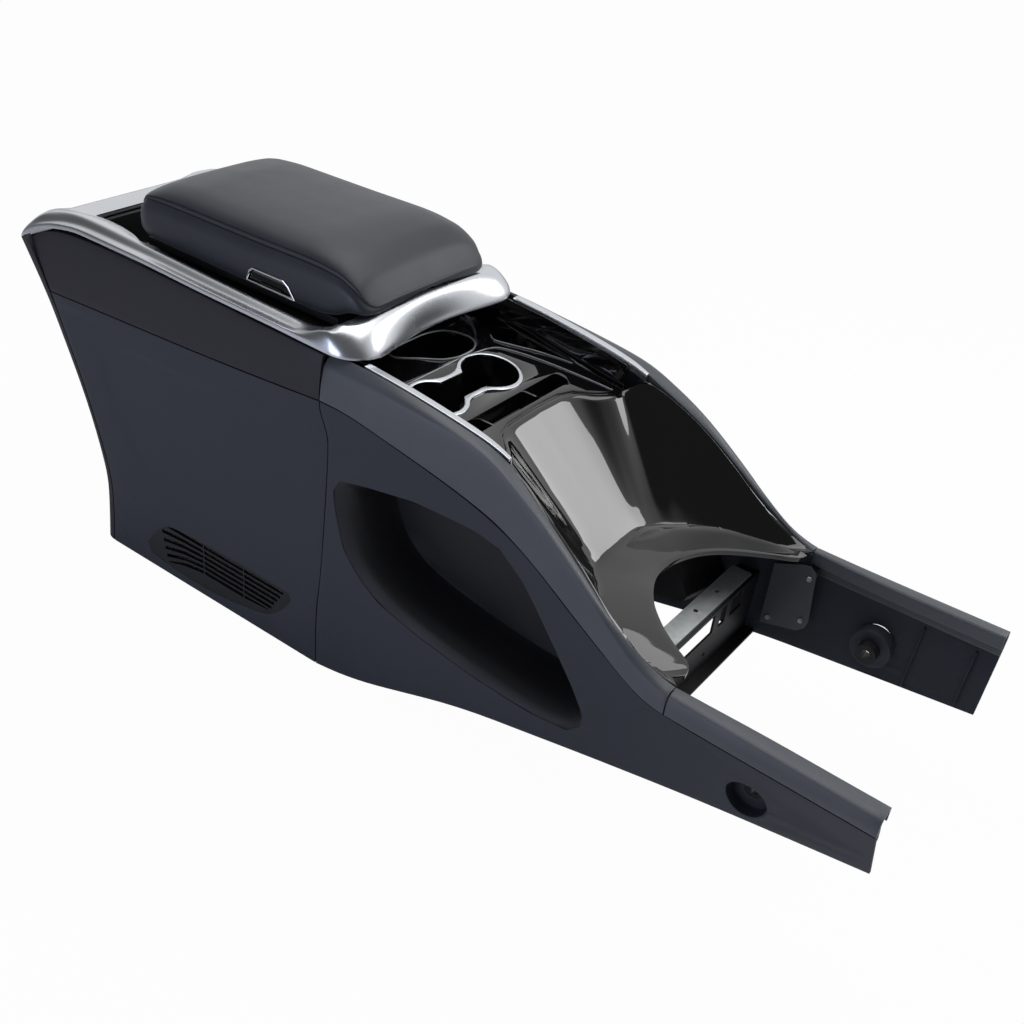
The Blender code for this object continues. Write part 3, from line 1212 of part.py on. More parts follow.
def turned(name, centre, axis, profile, look, count=12, ring=False):
    """Body turned about an axis from a profile of (radius, level) pairs."""
    order = {"x": lambda a, b, c: (c, a, b), "y": lambda a, b, c: (a, c, b),
             "z": lambda a, b, c: (a, b, c)}[axis]
    sections = [[order(a, b, level) for a, b in circle(centre, radius, count)]
                for radius, level in profile]
    return loft(name, sections, look, closed=ring)


def make_cross_members():
    """Zinc-plated strap on the black carrier frame."""
    low, high = STRAP_X
    strap = block("cross_bracket", (low, -STRAP_W, STRAP_Z - STRAP_T), (high, STRAP_W, STRAP_Z), "zinc")
    holes = [pipe("hole", (STRAP_HOLE_X, y), "z", STRAP_Z - 0.01, STRAP_Z + 0.01, STRAP_HOLE_R, 0.0,
                  "zinc", 8) for y in STRAP_HOLES_Y]
    cut(strap, *holes)
    top = STRAP_Z - STRAP_T - GAP
    back, web, foot = CARRIER_HEAD_X, CARRIER_X - CARRIER_T, CARRIER_FOOT_X
    profile = [(back, top), (back, top - CARRIER_T), (web, top - CARRIER_T), (web, CARRIER_LOW_Z),
               (foot, CARRIER_LOW_Z), (foot, CARRIER_LOW_Z + CARRIER_T),
               (CARRIER_X, CARRIER_LOW_Z + CARRIER_T), (CARRIER_X, top)]
    sections = []
    for side in (-1.0, 1.0):
        sections.append([(x, side * (side_w(x, z) - WALL - POST_SET), z) for x, z in profile])
    carrier = loft("carrier_frame", sections, "inner")
    tools = [block("window", (0.39, y0, CARRIER_WINDOW_Z[0]), (0.41, y1, CARRIER_WINDOW_Z[1]))
             for y0, y1 in CARRIER_WINDOWS]
    tools += [pipe("hole", (y, CARRIER_HOLE_Z), "x", 0.39, 0.41, CARRIER_HOLE_R, 0.0, "inner", 8)
              for y in CARRIER_HOLES_Y]
    cut(carrier, *tools)


def make_mount_plates():
    """Plates on stand-off posts at the inner side of the arms, with their screws."""
    for label, side in SIDES:
        plate = prism("mount_plate_" + label, PLATE_OUTLINE, "y", side * PLATE_Y,
                      side * (PLATE_Y + PLATE_T), "inner")
        posts, bores = [], []
        for number, (x, z) in enumerate(PLATE_SCREWS, 1):
            reach = side_w(x, z) - WALL - GAP - POST_SET
            if z + POST_R > curve(GROOVE_Z, x) + SEAM - TONGUE_DROP:
                reach -= TONGUE + GAP
            posts.append(pipe("post", (x, z), "y", side * (PLATE_Y + PLATE_T / 2.0), side * reach,
                              POST_R, 0.0, "inner", 6))
            bores.append(pipe("bore", (x, z), "y", side * (PLATE_Y - 0.01),
                              side * (PLATE_Y + SCREW_LENGTH + GAP), SCREW_R + GAP, 0.0, "inner", 6))
            head = PLATE_Y - GAP
            turned("plate_screw_%s_%d" % (label, number), (x, z), "y",
                   ((SCREW_HEAD_R * 0.75, side * (head - SCREW_HEAD)),
                    (SCREW_HEAD_R, side * head), (SCREW_R, side * head),
                    (SCREW_R, side * (PLATE_Y + SCREW_LENGTH))), "steel", 6)
        fuse(plate, *posts)
        cut(plate, *bores)


def make_bushings():
    """Bushings in the floors of the arm screw cups."""
    for label, side in SIDES:
        low = CUP_FLOOR_Y - CUP_WALL - GAP
        turned("arm_bushing_" + label, (CUP_X, CUP_Z), "y",
               ((BUSH_R - TONGUE, side * CUP_FLOOR_Y), (BUSH_R - TONGUE, side * low),
                (BUSH_R, side * low), (BUSH_R, side * (low - BUSH_LENGTH)),
                (BUSH_BORE, side * (low - BUSH_LENGTH)), (BUSH_BORE, side * CUP_FLOOR_Y)),
               "inner", 12, ring=True)


def main():
    """Build every piece."""
    for item in list(bpy.data.objects):
        bpy.data.objects.remove(item)
    make_rear_side_panels()
    make_front_side_panels()
    make_pocket_liners()
    make_vents()
    make_side_strips()
    make_rails()
    make_rear_cover()
    make_trim_frame()
    make_trim_strips()
    make_deck()
    make_cup_insert()
    make_cup_ring()
    make_ramp()
    make_pad()
    make_lid_base()
    make_latch()
    make_bin()
    make_rear_pocket()
    make_bulkheads()
    make_cross_members()
    make_mount_plates()
    make_bushings()


main()
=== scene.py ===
"""Dresses a car center console for the studio.

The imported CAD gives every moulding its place. This script gives the mouldings their finishes, sews
the leather armrest, and smooths the satin frame, the gloss tray and the gloss ramp.
"""
from __future__ import annotations

import json
import logging
import math
from dataclasses import dataclass
from enum import Enum
from typing import Callable, Sequence

import bpy
from mathutils import Matrix, Vector

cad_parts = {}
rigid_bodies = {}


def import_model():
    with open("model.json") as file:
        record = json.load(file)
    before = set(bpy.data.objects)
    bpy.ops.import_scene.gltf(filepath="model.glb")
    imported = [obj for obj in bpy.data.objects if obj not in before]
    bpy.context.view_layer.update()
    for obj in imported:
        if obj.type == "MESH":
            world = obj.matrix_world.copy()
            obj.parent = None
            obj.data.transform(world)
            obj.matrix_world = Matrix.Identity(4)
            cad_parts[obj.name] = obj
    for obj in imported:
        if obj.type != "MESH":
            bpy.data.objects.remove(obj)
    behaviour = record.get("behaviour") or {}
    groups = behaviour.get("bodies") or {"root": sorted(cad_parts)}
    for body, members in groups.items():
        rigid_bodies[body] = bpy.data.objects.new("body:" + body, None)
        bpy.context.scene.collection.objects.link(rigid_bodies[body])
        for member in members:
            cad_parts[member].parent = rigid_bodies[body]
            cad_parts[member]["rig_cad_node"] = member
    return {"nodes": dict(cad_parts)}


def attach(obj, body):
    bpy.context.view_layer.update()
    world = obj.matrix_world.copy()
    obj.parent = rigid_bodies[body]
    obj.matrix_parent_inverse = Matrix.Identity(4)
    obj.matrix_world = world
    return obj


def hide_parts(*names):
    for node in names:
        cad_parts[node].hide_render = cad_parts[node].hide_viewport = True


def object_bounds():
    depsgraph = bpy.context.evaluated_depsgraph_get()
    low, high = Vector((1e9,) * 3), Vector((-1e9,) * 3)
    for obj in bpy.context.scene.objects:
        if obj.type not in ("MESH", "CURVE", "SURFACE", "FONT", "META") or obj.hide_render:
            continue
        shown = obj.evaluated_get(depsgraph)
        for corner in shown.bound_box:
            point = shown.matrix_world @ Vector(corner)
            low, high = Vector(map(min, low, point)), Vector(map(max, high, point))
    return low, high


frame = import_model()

LOG = logging.getLogger("center_console")
CAD_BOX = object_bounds()
MM = 0.001
# The joint between the rear and front side panels. Every place along X is given from there.
JOINT_X = -0.0744

Colour = tuple[float, float, float, float]
Point = tuple[float, float, float]
Profile = Sequence[tuple[float, float]]


# --------------------------------------------------------------------------------------------
# Small helpers
# --------------------------------------------------------------------------------------------


def linear(code: str) -> Colour:
    """Turns an sRGB hex colour to the linear values that the shaders take.

    Args:
        code: Colour as "#rrggbb".

    Returns:
        Red, green, blue and an alpha of 1.
    """
    values = []
    for start in (1, 3, 5):
        share = int(code[start:start + 2], 16) / 255.0
        values.append(share / 12.92 if share <= 0.04045 else ((share + 0.055) / 1.055) ** 2.4)
    return values[0], values[1], values[2], 1.0


def curve(table: Profile, at: float) -> float:
    """Reads a smooth line through (place, value) pairs.

    Args:
        table: Pairs in rising order of place.
        at: Place to read.

    Returns:
        The value there, level past both ends.
    """
    if at <= table[0][0]:
        return table[0][1]
    if at >= table[-1][0]:
        return table[-1][1]
    steps = [(b[1] - a[1]) / (b[0] - a[0]) for a, b in zip(table, table[1:])]

    def slope(index: int) -> float:
        """Slope of the line at one of its points."""
        if index in (0, len(steps)):
            return steps[min(index, len(steps) - 1)]
        before, after = steps[index - 1], steps[index]
        return 0.0 if before * after <= 0.0 else 2.0 * before * after / (before + after)

    for index, (low, high) in enumerate(zip(table, table[1:])):
        if at <= high[0]:
            span = high[0] - low[0]
            t = (at - low[0]) / span
            return (low[1] * (2 * t ** 3 - 3 * t ** 2 + 1) + high[1] * (3 * t ** 2 - 2 * t ** 3)
                    + slope(index) * span * (t ** 3 - 2 * t ** 2 + t)
                    + slope(index + 1) * span * (t ** 3 - t ** 2))
    return table[-1][1]


def mix(a: float, b: float, t: float) -> float:
    """Value between a and b."""
    return a + (b - a) * t


def clamp(share: float) -> float:
    """Holds a share between 0 and 1."""
    return min(max(share, 0.0), 1.0)


def both(*stems: str) -> tuple[str, ...]:
    """Names of the left and right node of each pair."""
    return tuple(f"{stem}_{side}" for stem in stems for side in ("left", "right"))


def only(item: bpy.types.Object) -> None:
    """Selects one object and nothing else, in object mode.

    Args:
        item: Object to select.
    """
    if bpy.context.mode != "OBJECT":
        bpy.ops.object.mode_set(mode="OBJECT")
    bpy.ops.object.select_all(action="DESELECT")
    item.select_set(True)
    bpy.context.view_layer.objects.active = item


def enter(item: bpy.types.Object, kind: str = "FACE") -> None:
    """Opens an object in edit mode with nothing selected.

    Args:
        item: Mesh object to edit.
        kind: Select mode, VERT, EDGE or FACE.
    """
    only(item)
    bpy.ops.object.mode_set(mode="EDIT")
    bpy.ops.mesh.select_mode(type=kind)
    bpy.ops.mesh.select_all(action="DESELECT")


def leave() -> None:
    """Goes back to object mode."""
    bpy.ops.object.mode_set(mode="OBJECT")


def apply_all(item: bpy.types.Object) -> None:
    """Applies every modifier of an object in order.

    Args:
        item: Object whose modifiers are applied.
    """
    only(item)
    for modifier in list(item.modifiers):
        bpy.ops.object.modifier_apply(modifier=modifier.name)


def face_outwards(item: bpy.types.Object, merge: float = 0.0) -> None:
    """Turns every face of a closed shape outwards.

    Args:
        item: Mesh object.
        merge: Distance in metres up to which points are merged first; 0 merges none.
    """
    enter(item, "VERT")
    bpy.ops.mesh.select_all(action="SELECT")
    if merge:
        bpy.ops.mesh.remove_doubles(threshold=merge)
    bpy.ops.mesh.normals_make_consistent(inside=False)
    leave()


def settle(item: bpy.types.Object) -> None:
    """Puts an object's place, turn and scale into its mesh."""
    only(item)
    bpy.ops.object.transform_apply(location=True, rotation=True, scale=True)


def add_node(tree: bpy.types.NodeTree, kind: str, settings: dict | None = None,
             links: dict | None = None) -> bpy.types.Node:
    """Adds one node with its settings and links.

    Args:
        tree: Node tree of a material or world.
        kind: Node type without its "ShaderNode" prefix.
        settings: Properties and input values by name or socket number.
        links: Output sockets by the name or number of the input that they feed.

    Returns:
        The new node.
    """
    node = tree.nodes.new("ShaderNode" + kind)
    for key, value in (settings or {}).items():
        if isinstance(key, str) and key in node.bl_rna.properties:
            setattr(node, key, value)
        else:
            node.inputs[key].default_value = value
    for key, output in (links or {}).items():
        tree.links.new(output, node.inputs[key])
    return node


# --------------------------------------------------------------------------------------------
# Finishes
# --------------------------------------------------------------------------------------------


@dataclass(frozen=True)
class Finish:
    """A surface finish: one procedural material on Object coordinates.

    Attributes:
        name: Name of the material.
        slot: Material slot of the record that it belongs to; not used.
        colour: sRGB hex colour.
        rough: Roughness of the clean surface.
    """

    name: str
    slot: str
    colour: str
    rough: float

    def material(self) -> bpy.types.Material:
        """Returns the finish as a material, built on first use."""
        found = bpy.data.materials.get(self.name)
        if found:
            return found
        made = bpy.data.materials.new(self.name)
        made.use_nodes = True
        tree = made.node_tree
        shader = tree.nodes["Principled BSDF"]
        shader.inputs["Base Color"].default_value = linear(self.colour)
        shader.inputs["Roughness"].default_value = self.rough
        place = add_node(tree, "TexCoord")
        centred = add_node(tree, "Mapping", {"vector_type": "POINT"}, {0: place.outputs["Object"]})
        self.dress(tree, shader, centred.outputs[0])
        return made

    def dress(self, tree: bpy.types.NodeTree, shader: bpy.types.Node,
              place: bpy.types.NodeSocket) -> None:
        """Adds the nodes that only this finish has.

        Args:
            tree: Node tree of the material.
            shader: Its Principled BSDF.
            place: Mapped Object coordinates, in metres.
        """

    def mottle(self, tree: bpy.types.NodeTree, shader: bpy.types.Node,
               place: bpy.types.NodeSocket, size: float, share: float) -> None:
        """Lets colour and roughness drift a little over the surface, as moulding and handling do.

        Args:
            tree: Node tree of the material.
            shader: Its Principled BSDF.
            place: Mapped Object coordinates.
            size: Size of the patches in metres.
            share: How far the colour drifts to either side, as a share.
        """
        cloud = add_node(tree, "TexNoise", {"Scale": 1.0 / size, "Detail": 4.0, "Roughness": 0.6},
                         {"Vector": place})
        base = linear(self.colour)
        dark = tuple(c * (1.0 - share) for c in base[:3]) + (1.0,)
        light = tuple(c * (1.0 + share) for c in base[:3]) + (1.0,)
        ramp = add_node(tree, "ValToRGB", {}, {"Fac": cloud.outputs["Fac"]})
        ramp.color_ramp.elements[0].position = 0.35
        ramp.color_ramp.elements[0].color = dark
        ramp.color_ramp.elements[1].position = 0.65
        ramp.color_ramp.elements[1].color = light
        tree.links.new(ramp.outputs["Color"], shader.inputs["Base Color"])
        rough = add_node(tree, "MapRange", {"From Min": 0.3, "From Max": 0.7,
                                            "To Min": self.rough * 0.93,
                                            "To Max": self.rough * 1.07},
                         {"Value": cloud.outputs["Fac"]})
        tree.links.new(rough.outputs["Result"], shader.inputs["Roughness"])


@dataclass(frozen=True)
class GrainedPlastic(Finish):
    """Polypropylene moulded in an eroded tool: a fine matt grain that breaks up every highlight.

    Attributes:
        grain: Width of one grain in metres. The real one is near 0.4 mm; it is drawn coarser,
            so that it still shows at the size of the picture.
        depth: Height of the grain in metres.
        specular: Specular level.
    """

    grain: float = 1.1 * MM
    depth: float = 0.045 * MM
    specular: float = 0.4

    def dress(self, tree: bpy.types.NodeTree, shader: bpy.types.Node,
              place: bpy.types.NodeSocket) -> None:
        """Adds the eroded grain and a faint drift of tone.

        Args:
            tree: Node tree of the material.
            shader: Its Principled BSDF.
            place: Mapped Object coordinates, in metres.
        """
        shader.inputs["Specular IOR Level"].default_value = self.specular
        self.mottle(tree, shader, place, 0.09, 0.07)
        pits = add_node(tree, "TexVoronoi", {"Scale": 1.0 / self.grain, "feature": "SMOOTH_F1",
                                             "Smoothness": 0.6}, {"Vector": place})
        fine = add_node(tree, "TexNoise", {"Scale": 2.2 / self.grain, "Detail": 2.0},
                        {"Vector": place})
        both = add_node(tree, "Math", {"operation": "ADD"},
                        {0: pits.outputs["Distance"], 1: fine.outputs["Fac"]})
        relief = add_node(tree, "Bump", {"Strength": 1.0, "Distance": self.depth},
                          {"Height": both.outputs[0]})
        tree.links.new(relief.outputs["Normal"], shader.inputs["Normal"])


@dataclass(frozen=True)
class PolishedPlastic(Finish):
    """ABS moulded in a mirror-polished tool and lacquered: piano black with a faint orange peel.

    Attributes:
        coat: Weight of the clear lacquer.
        peel: Height of the orange peel in metres.
    """

    coat: float = 0.6
    peel: float = 0.003 * MM

    def dress(self, tree: bpy.types.NodeTree, shader: bpy.types.Node,
              place: bpy.types.NodeSocket) -> None:
        """Adds the lacquer, its orange peel and fine dust that dulls it in patches.

        Args:
            tree: Node tree of the material.
            shader: Its Principled BSDF.
            place: Mapped Object coordinates, in metres.
        """
        shader.inputs["Specular IOR Level"].default_value = 0.5
        shader.inputs["Coat Weight"].default_value = self.coat
        shader.inputs["Coat Roughness"].default_value = 0.02
        peel = add_node(tree, "TexNoise", {"Scale": 1.0 / 0.012, "Detail": 1.0}, {"Vector": place})
        relief = add_node(tree, "Bump", {"Strength": 0.4, "Distance": self.peel},
                          {"Height": peel.outputs["Fac"]})
        tree.links.new(relief.outputs["Normal"], shader.inputs["Normal"])
        dust = add_node(tree, "TexNoise", {"Scale": 1.0 / 0.05, "Detail": 6.0, "Roughness": 0.7},
                        {"Vector": place})
        rough = add_node(tree, "MapRange", {"From Min": 0.4, "From Max": 0.75,
                                            "To Min": self.rough, "To Max": self.rough + 0.05},
                         {"Value": dust.outputs["Fac"]})
        tree.links.new(rough.outputs["Result"], shader.inputs["Roughness"])


@dataclass(frozen=True)
class SatinPlating(Finish):
    """Moulded ABS with a satin silver coat: a soft metal sheen with very fine aluminium flake."""

    def dress(self, tree: bpy.types.NodeTree, shader: bpy.types.Node,
              place: bpy.types.NodeSocket) -> None:
        """Adds metal, flake and a faint waviness of the coat.

        Args:
            tree: Node tree of the material.
            shader: Its Principled BSDF.
            place: Mapped Object coordinates, in metres.
        """
        shader.inputs["Metallic"].default_value = 1.0
        self.mottle(tree, shader, place, 0.12, 0.02)
        flake = add_node(tree, "TexVoronoi", {"Scale": 1.0 / (0.5 * MM)}, {"Vector": place})
        wave = add_node(tree, "TexNoise", {"Scale": 1.0 / 0.025, "Detail": 1.0}, {"Vector": place})
        fine = add_node(tree, "Bump", {"Strength": 0.25, "Distance": 0.01 * MM},
                        {"Height": flake.outputs["Distance"]})
        relief = add_node(tree, "Bump", {"Strength": 0.5, "Distance": 0.05 * MM},
                          {"Height": wave.outputs["Fac"], "Normal": fine.outputs["Normal"]})
        tree.links.new(relief.outputs["Normal"], shader.inputs["Normal"])


@dataclass(frozen=True)
class ChromePlating(Finish):
    """Bright chrome on polished ABS: a clear mirror with the slightest blue."""

    def dress(self, tree: bpy.types.NodeTree, shader: bpy.types.Node,
              place: bpy.types.NodeSocket) -> None:
        """Adds metal and finger smears that dull the mirror in patches.

        Args:
            tree: Node tree of the material.
            shader: Its Principled BSDF.
            place: Mapped Object coordinates, in metres.
        """
        shader.inputs["Metallic"].default_value = 1.0
        smear = add_node(tree, "TexNoise", {"Scale": 1.0 / 0.008, "Detail": 3.0},
                         {"Vector": place})
        rough = add_node(tree, "MapRange", {"From Min": 0.35, "From Max": 0.7,
                                            "To Min": self.rough, "To Max": self.rough + 0.06},
                         {"Value": smear.outputs["Fac"]})
        tree.links.new(rough.outputs["Result"], shader.inputs["Roughness"])


@dataclass(frozen=True)
class GrainedLeather(Finish):
    """Coated leather with a fine pebble grain: a soft broad sheen over dark grey.

    Attributes:
        pebble: Width of one pebble in metres, drawn at twice the real size so that it shows.
    """

    pebble: float = 1.3 * MM

    def dress(self, tree: bpy.types.NodeTree, shader: bpy.types.Node,
              place: bpy.types.NodeSocket) -> None:
        """Adds pebbles, pores between them, soft creases and a light sheen.

        Args:
            tree: Node tree of the material.
            shader: Its Principled BSDF.
            place: Mapped Object coordinates, in metres.
        """
        shader.inputs["Specular IOR Level"].default_value = 0.45
        shader.inputs["Sheen Weight"].default_value = 0.12
        shader.inputs["Sheen Roughness"].default_value = 0.45
        self.mottle(tree, shader, place, 0.05, 0.06)
        bent = add_node(tree, "TexNoise", {"Scale": 1.0 / 0.004, "Detail": 1.0}, {"Vector": place})
        shifted = add_node(tree, "VectorMath", {"operation": "MULTIPLY_ADD",
                                                1: (0.0006, 0.0006, 0.0006)},
                           {0: bent.outputs["Color"], 2: place})
        cells = add_node(tree, "TexVoronoi", {"Scale": 1.0 / self.pebble,
                                              "feature": "DISTANCE_TO_EDGE"},
                         {"Vector": shifted.outputs[0]})
        domed = add_node(tree, "MapRange", {"From Min": 0.0, "From Max": 0.35, "To Min": 0.0,
                                            "To Max": 1.0, "interpolation_type": "SMOOTHSTEP"},
                         {"Value": cells.outputs["Distance"]})
        creases = add_node(tree, "TexNoise", {"Scale": 1.0 / 0.02, "Detail": 5.0,
                                              "Distortion": 0.4}, {"Vector": place})
        fine = add_node(tree, "Bump", {"Strength": 0.7, "Distance": 0.05 * MM},
                        {"Height": domed.outputs["Result"]})
        broad = add_node(tree, "Bump", {"Strength": 0.5, "Distance": 0.35 * MM},
                         {"Height": creases.outputs["Fac"], "Normal": fine.outputs["Normal"]})
        tree.links.new(broad.outputs["Normal"], shader.inputs["Normal"])


@dataclass(frozen=True)
class ZincSheet(Finish):
    """Zinc-plated sheet steel: pale grey with a dull cloudy sheen.

    Attributes:
        streak: Length of the rolling streaks in metres.
    """

    streak: float = 0.030

    def dress(self, tree: bpy.types.NodeTree, shader: bpy.types.Node,
              place: bpy.types.NodeSocket) -> None:
        """Adds metal, the clouds of the plating and the streaks that rolling leaves along Y.

        Args:
            tree: Node tree of the material.
            shader: Its Principled BSDF.
            place: Mapped Object coordinates, in metres.
        """
        shader.inputs["Metallic"].default_value = 0.6
        self.mottle(tree, shader, place, 0.012, 0.08)
        stretched = add_node(tree, "Mapping", {"Scale": (1.0 / (0.7 * MM), 1.0 / self.streak,
                                                         1.0 / (0.7 * MM))}, {"Vector": place})
        streaks = add_node(tree, "TexNoise", {"Scale": 1.0, "Detail": 2.0},
                           {"Vector": stretched.outputs[0]})
        relief = add_node(tree, "Bump", {"Strength": 0.5, "Distance": 0.02 * MM},
                          {"Height": streaks.outputs["Fac"]})
        tree.links.new(relief.outputs["Normal"], shader.inputs["Normal"])


@dataclass(frozen=True)
class SewingThread(Finish):
    """Bonded polyester thread: twisted, so it glints a little along its turns."""

    def dress(self, tree: bpy.types.NodeTree, shader: bpy.types.Node,
              place: bpy.types.NodeSocket) -> None:
        """Adds the twist of the thread as a fine slanted wave.

        Args:
            tree: Node tree of the material.
            shader: Its Principled BSDF.
            place: Mapped Object coordinates, in metres.
        """
        twist = add_node(tree, "TexWave", {"Scale": 1.0 / (1.2 * MM),
                                           "bands_direction": "DIAGONAL"}, {"Vector": place})
        relief = add_node(tree, "Bump", {"Strength": 0.6, "Distance": 0.08 * MM},
                          {"Height": twist.outputs["Fac"]})
        tree.links.new(relief.outputs["Normal"], shader.inputs["Normal"])


class Finishes(Enum):
    """The finishes of this console."""

    PANEL = GrainedPlastic("charcoal polypropylene, eroded grain", "panel", "#2f323c", 0.58)
    STRIP = GrainedPlastic("black polypropylene, eroded grain", "strip", "#26242b", 0.58)
    RAIL = GrainedPlastic("dark grey polypropylene, satin grain", "rail", "#4b4f55", 0.42,
                          specular=0.5)
    INNER = GrainedPlastic("black polypropylene, tool-smooth", "inner", "#17171a", 0.50,
                           grain=2.0 * MM, depth=0.02 * MM)
    GLOSS = PolishedPlastic("piano black ABS, lacquered", "gloss", "#0b0b0d", 0.05)
    # The rim is piano black like the tray; its grey colour is a painted highlight, standing in for
    # the light that its round edge catches.
    RIM = PolishedPlastic("piano black ABS rim, grey as painted highlight", "gloss", "#6a6c70", 0.12, coat=1.0)
    SATIN = SatinPlating("ABS, satin silver coat", "satin", "#d2d5da", 0.27)
    CHROME = ChromePlating("ABS, bright chrome plating", "chrome", "#dfe1e4", 0.07)
    LEATHER = GrainedLeather("coated leather, pebble grain", "leather", "#292c34", 0.42)
    THREAD = SewingThread("bonded polyester thread", "leather", "#0d0d10", 0.55)
    ZINC = ZincSheet("zinc-plated sheet steel", "zinc", "#d0d4d4", 0.42)
    # The coating is black; its dark grey colour is a painted sheen, lighter than the black itself.
    PLATE = GrainedPlastic("black-coated sheet steel, grey as painted sheen", "inner", "#43464c", 0.38, specular=0.7)
    SCREW = ZincSheet("zinc-plated screw steel", "steel", "#a6a8ac", 0.32)


def dress(item: bpy.types.Object, finish: Finishes) -> None:
    """Gives an object one finish all over.

    Args:
        item: Mesh object, a CAD node or a new piece.
        finish: One of the finishes.
    """
    material = finish.value.material()
    if not item.material_slots:
        item.data.materials.append(material)
    for slot in item.material_slots:
        slot.link = "OBJECT" if item.get("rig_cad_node") else "DATA"
        slot.material = material


# --------------------------------------------------------------------------------------------
# Mouldings smoothed from the CAD nodes
# --------------------------------------------------------------------------------------------


@dataclass(frozen=True)
class Smoothing:
    """How a moulding is smoothed.

    Attributes:
        sharp: Angle in degrees from which an edge is a real edge.
        levels: Subdivision levels; 0 keeps the faces.
        edge: Radius of the rounded edges in metres; 0 leaves them.
        quads: Angle in degrees up to which triangles join to quads; 0 joins none.
    """

    sharp: float = 30.0
    levels: int = 2
    edge: float = 0.0004
    quads: float = 35.0


def moulding(node: str, body: str, finish: Finishes, how: Smoothing) -> bpy.types.Object:
    """Makes a smooth piece from a copy of a CAD node and lets it stand for the node.

    Args:
        node: Name of the CAD node.
        body: Body that it moves with.
        finish: Its finish.
        how: How it is smoothed.

    Returns:
        The new piece.
    """
    piece = bpy.data.objects.new("skin_" + node, frame["nodes"][node].data.copy())
    bpy.context.scene.collection.objects.link(piece)
    piece.data.materials.clear()
    only(piece)
    bpy.ops.mesh.customdata_custom_splitnormals_clear()
    enter(piece, "EDGE")
    bpy.ops.mesh.select_all(action="SELECT")
    bpy.ops.mesh.remove_doubles(threshold=1e-5)
    if how.quads:
        bpy.ops.mesh.tris_convert_to_quads(face_threshold=math.radians(how.quads),
                                           shape_threshold=math.radians(60.0))
    if how.levels:
        bpy.ops.mesh.select_all(action="DESELECT")
        bpy.ops.mesh.edges_select_sharp(sharpness=math.radians(how.sharp))
        bpy.ops.transform.edge_crease(value=1.0)
    leave()
    if how.edge:
        bevel = piece.modifiers.new("edge", "BEVEL")
        bevel.width = how.edge
        bevel.segments = 2
        bevel.limit_method = "ANGLE"
        bevel.angle_limit = math.radians(how.sharp)
        bevel.use_clamp_overlap = True
    if how.levels:
        smooth = piece.modifiers.new("smooth", "SUBSURF")
        smooth.levels = how.levels
        smooth.render_levels = how.levels
        piece.modifiers.move(len(piece.modifiers) - 1, 0)
    apply_all(piece)
    bpy.ops.object.shade_smooth_by_angle(angle=math.radians(how.sharp))
    dress(piece, finish)
    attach(piece, body)
    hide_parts(node)
    return piece


def widen_rim(liner: bpy.types.Object, by: float = 0.0012, run: float = 0.004,
              full: float = 0.010) -> None:
    """Lets the rim of a pocket liner reach under the edge of its side panel.

    Args:
        liner: The liner.
        by: How far the rim moves outwards in metres.
        run: Depth over which the widening sets in, in metres.
        full: Depth below the outermost point down to which it is full, in metres.
    """
    points = [v.co for v in liner.data.vertices]
    middle = Vector(((max(p.x for p in points) + min(p.x for p in points)) / 2.0, 0.0,
                     (max(p.z for p in points) + min(p.z for p in points)) / 2.0))
    far = max(abs(p.y) for p in points)
    for point in points:
        share = clamp((abs(point.y) - far + run + full) / run)
        away = Vector((point.x, 0.0, point.z)) - middle
        point += away.normalized() * by * share


# --------------------------------------------------------------------------------------------
# Pieces drawn as smooth grids
# --------------------------------------------------------------------------------------------


def through(points: Sequence[Vector], count: int,
            places: Sequence[float]) -> list[Vector]:
    """Runs a smooth line through points.

    Args:
        points: Points that the line passes.
        count: Number of points wanted on the line.
        places: Place of each point from 0 to 1.

    Returns:
        Evenly placed points on the line.
    """
    tables = [[(place, point[axis]) for place, point in zip(places, points)] for axis in range(3)]
    steps = [i / (count - 1) for i in range(count)]
    return [Vector([curve(table, t) for table in tables]) for t in steps]


def grid(name: str, rows: Sequence[Sequence[Vector]]) -> bpy.types.Object:
    """Lays a grid primitive along rows of points and merges the points that meet.

    Args:
        name: Name of the new piece.
        rows: Rows of equal length, with X from the side joint.

    Returns:
        The new piece with its faces outwards.
    """
    bpy.ops.mesh.primitive_grid_add(x_subdivisions=len(rows[0]) - 1, y_subdivisions=len(rows) - 1)
    item = bpy.context.active_object
    item.name = name
    settle(item)
    flat = [point for row in rows for point in row]
    for vertex, point in zip(item.data.vertices, flat):
        vertex.co = (point[0] + JOINT_X, point[1], point[2])
    face_outwards(item, merge=2e-6)
    return item


def sheet(name: str, rows: Sequence[Sequence[Vector]], wall: float,
          edge: float) -> bpy.types.Object:
    """Makes a thin moulding from the rows of its upper face.

    Args:
        name: Name of the new piece.
        rows: Rows of equal length, with X from the side joint.
        wall: Wall thickness in metres.
        edge: Radius of its edges in metres.

    Returns:
        The new piece with its modifiers applied.
    """
    piece = grid(name, rows)
    if sum(face.normal.z * face.area for face in piece.data.polygons) < 0.0:
        enter(piece)
        bpy.ops.mesh.select_all(action="SELECT")
        bpy.ops.mesh.flip_normals()
        leave()
    shell = piece.modifiers.new("wall", "SOLIDIFY")
    shell.thickness = wall
    shell.offset = -1.0
    rounded = piece.modifiers.new("edges", "BEVEL")
    rounded.width = edge
    rounded.segments = 2
    rounded.limit_method = "ANGLE"
    rounded.angle_limit = math.radians(50.0)
    apply_all(piece)
    return piece


def finish_piece(item: bpy.types.Object, body: str, finish: Finishes, angle: float,
                 *nodes: str) -> bpy.types.Object:
    """Shades a piece, dresses it and puts it in the place of its CAD nodes.

    Args:
        item: The piece.
        body: Body that it moves with.
        finish: Its finish.
        angle: Angle in degrees from which an edge stays sharp.
        nodes: CAD nodes that it stands for.

    Returns:
        The same piece.
    """
    only(item)
    bpy.ops.object.shade_smooth_by_angle(angle=math.radians(angle))
    dress(item, finish)
    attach(item, body)
    if nodes:
        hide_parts(*nodes)
    return item


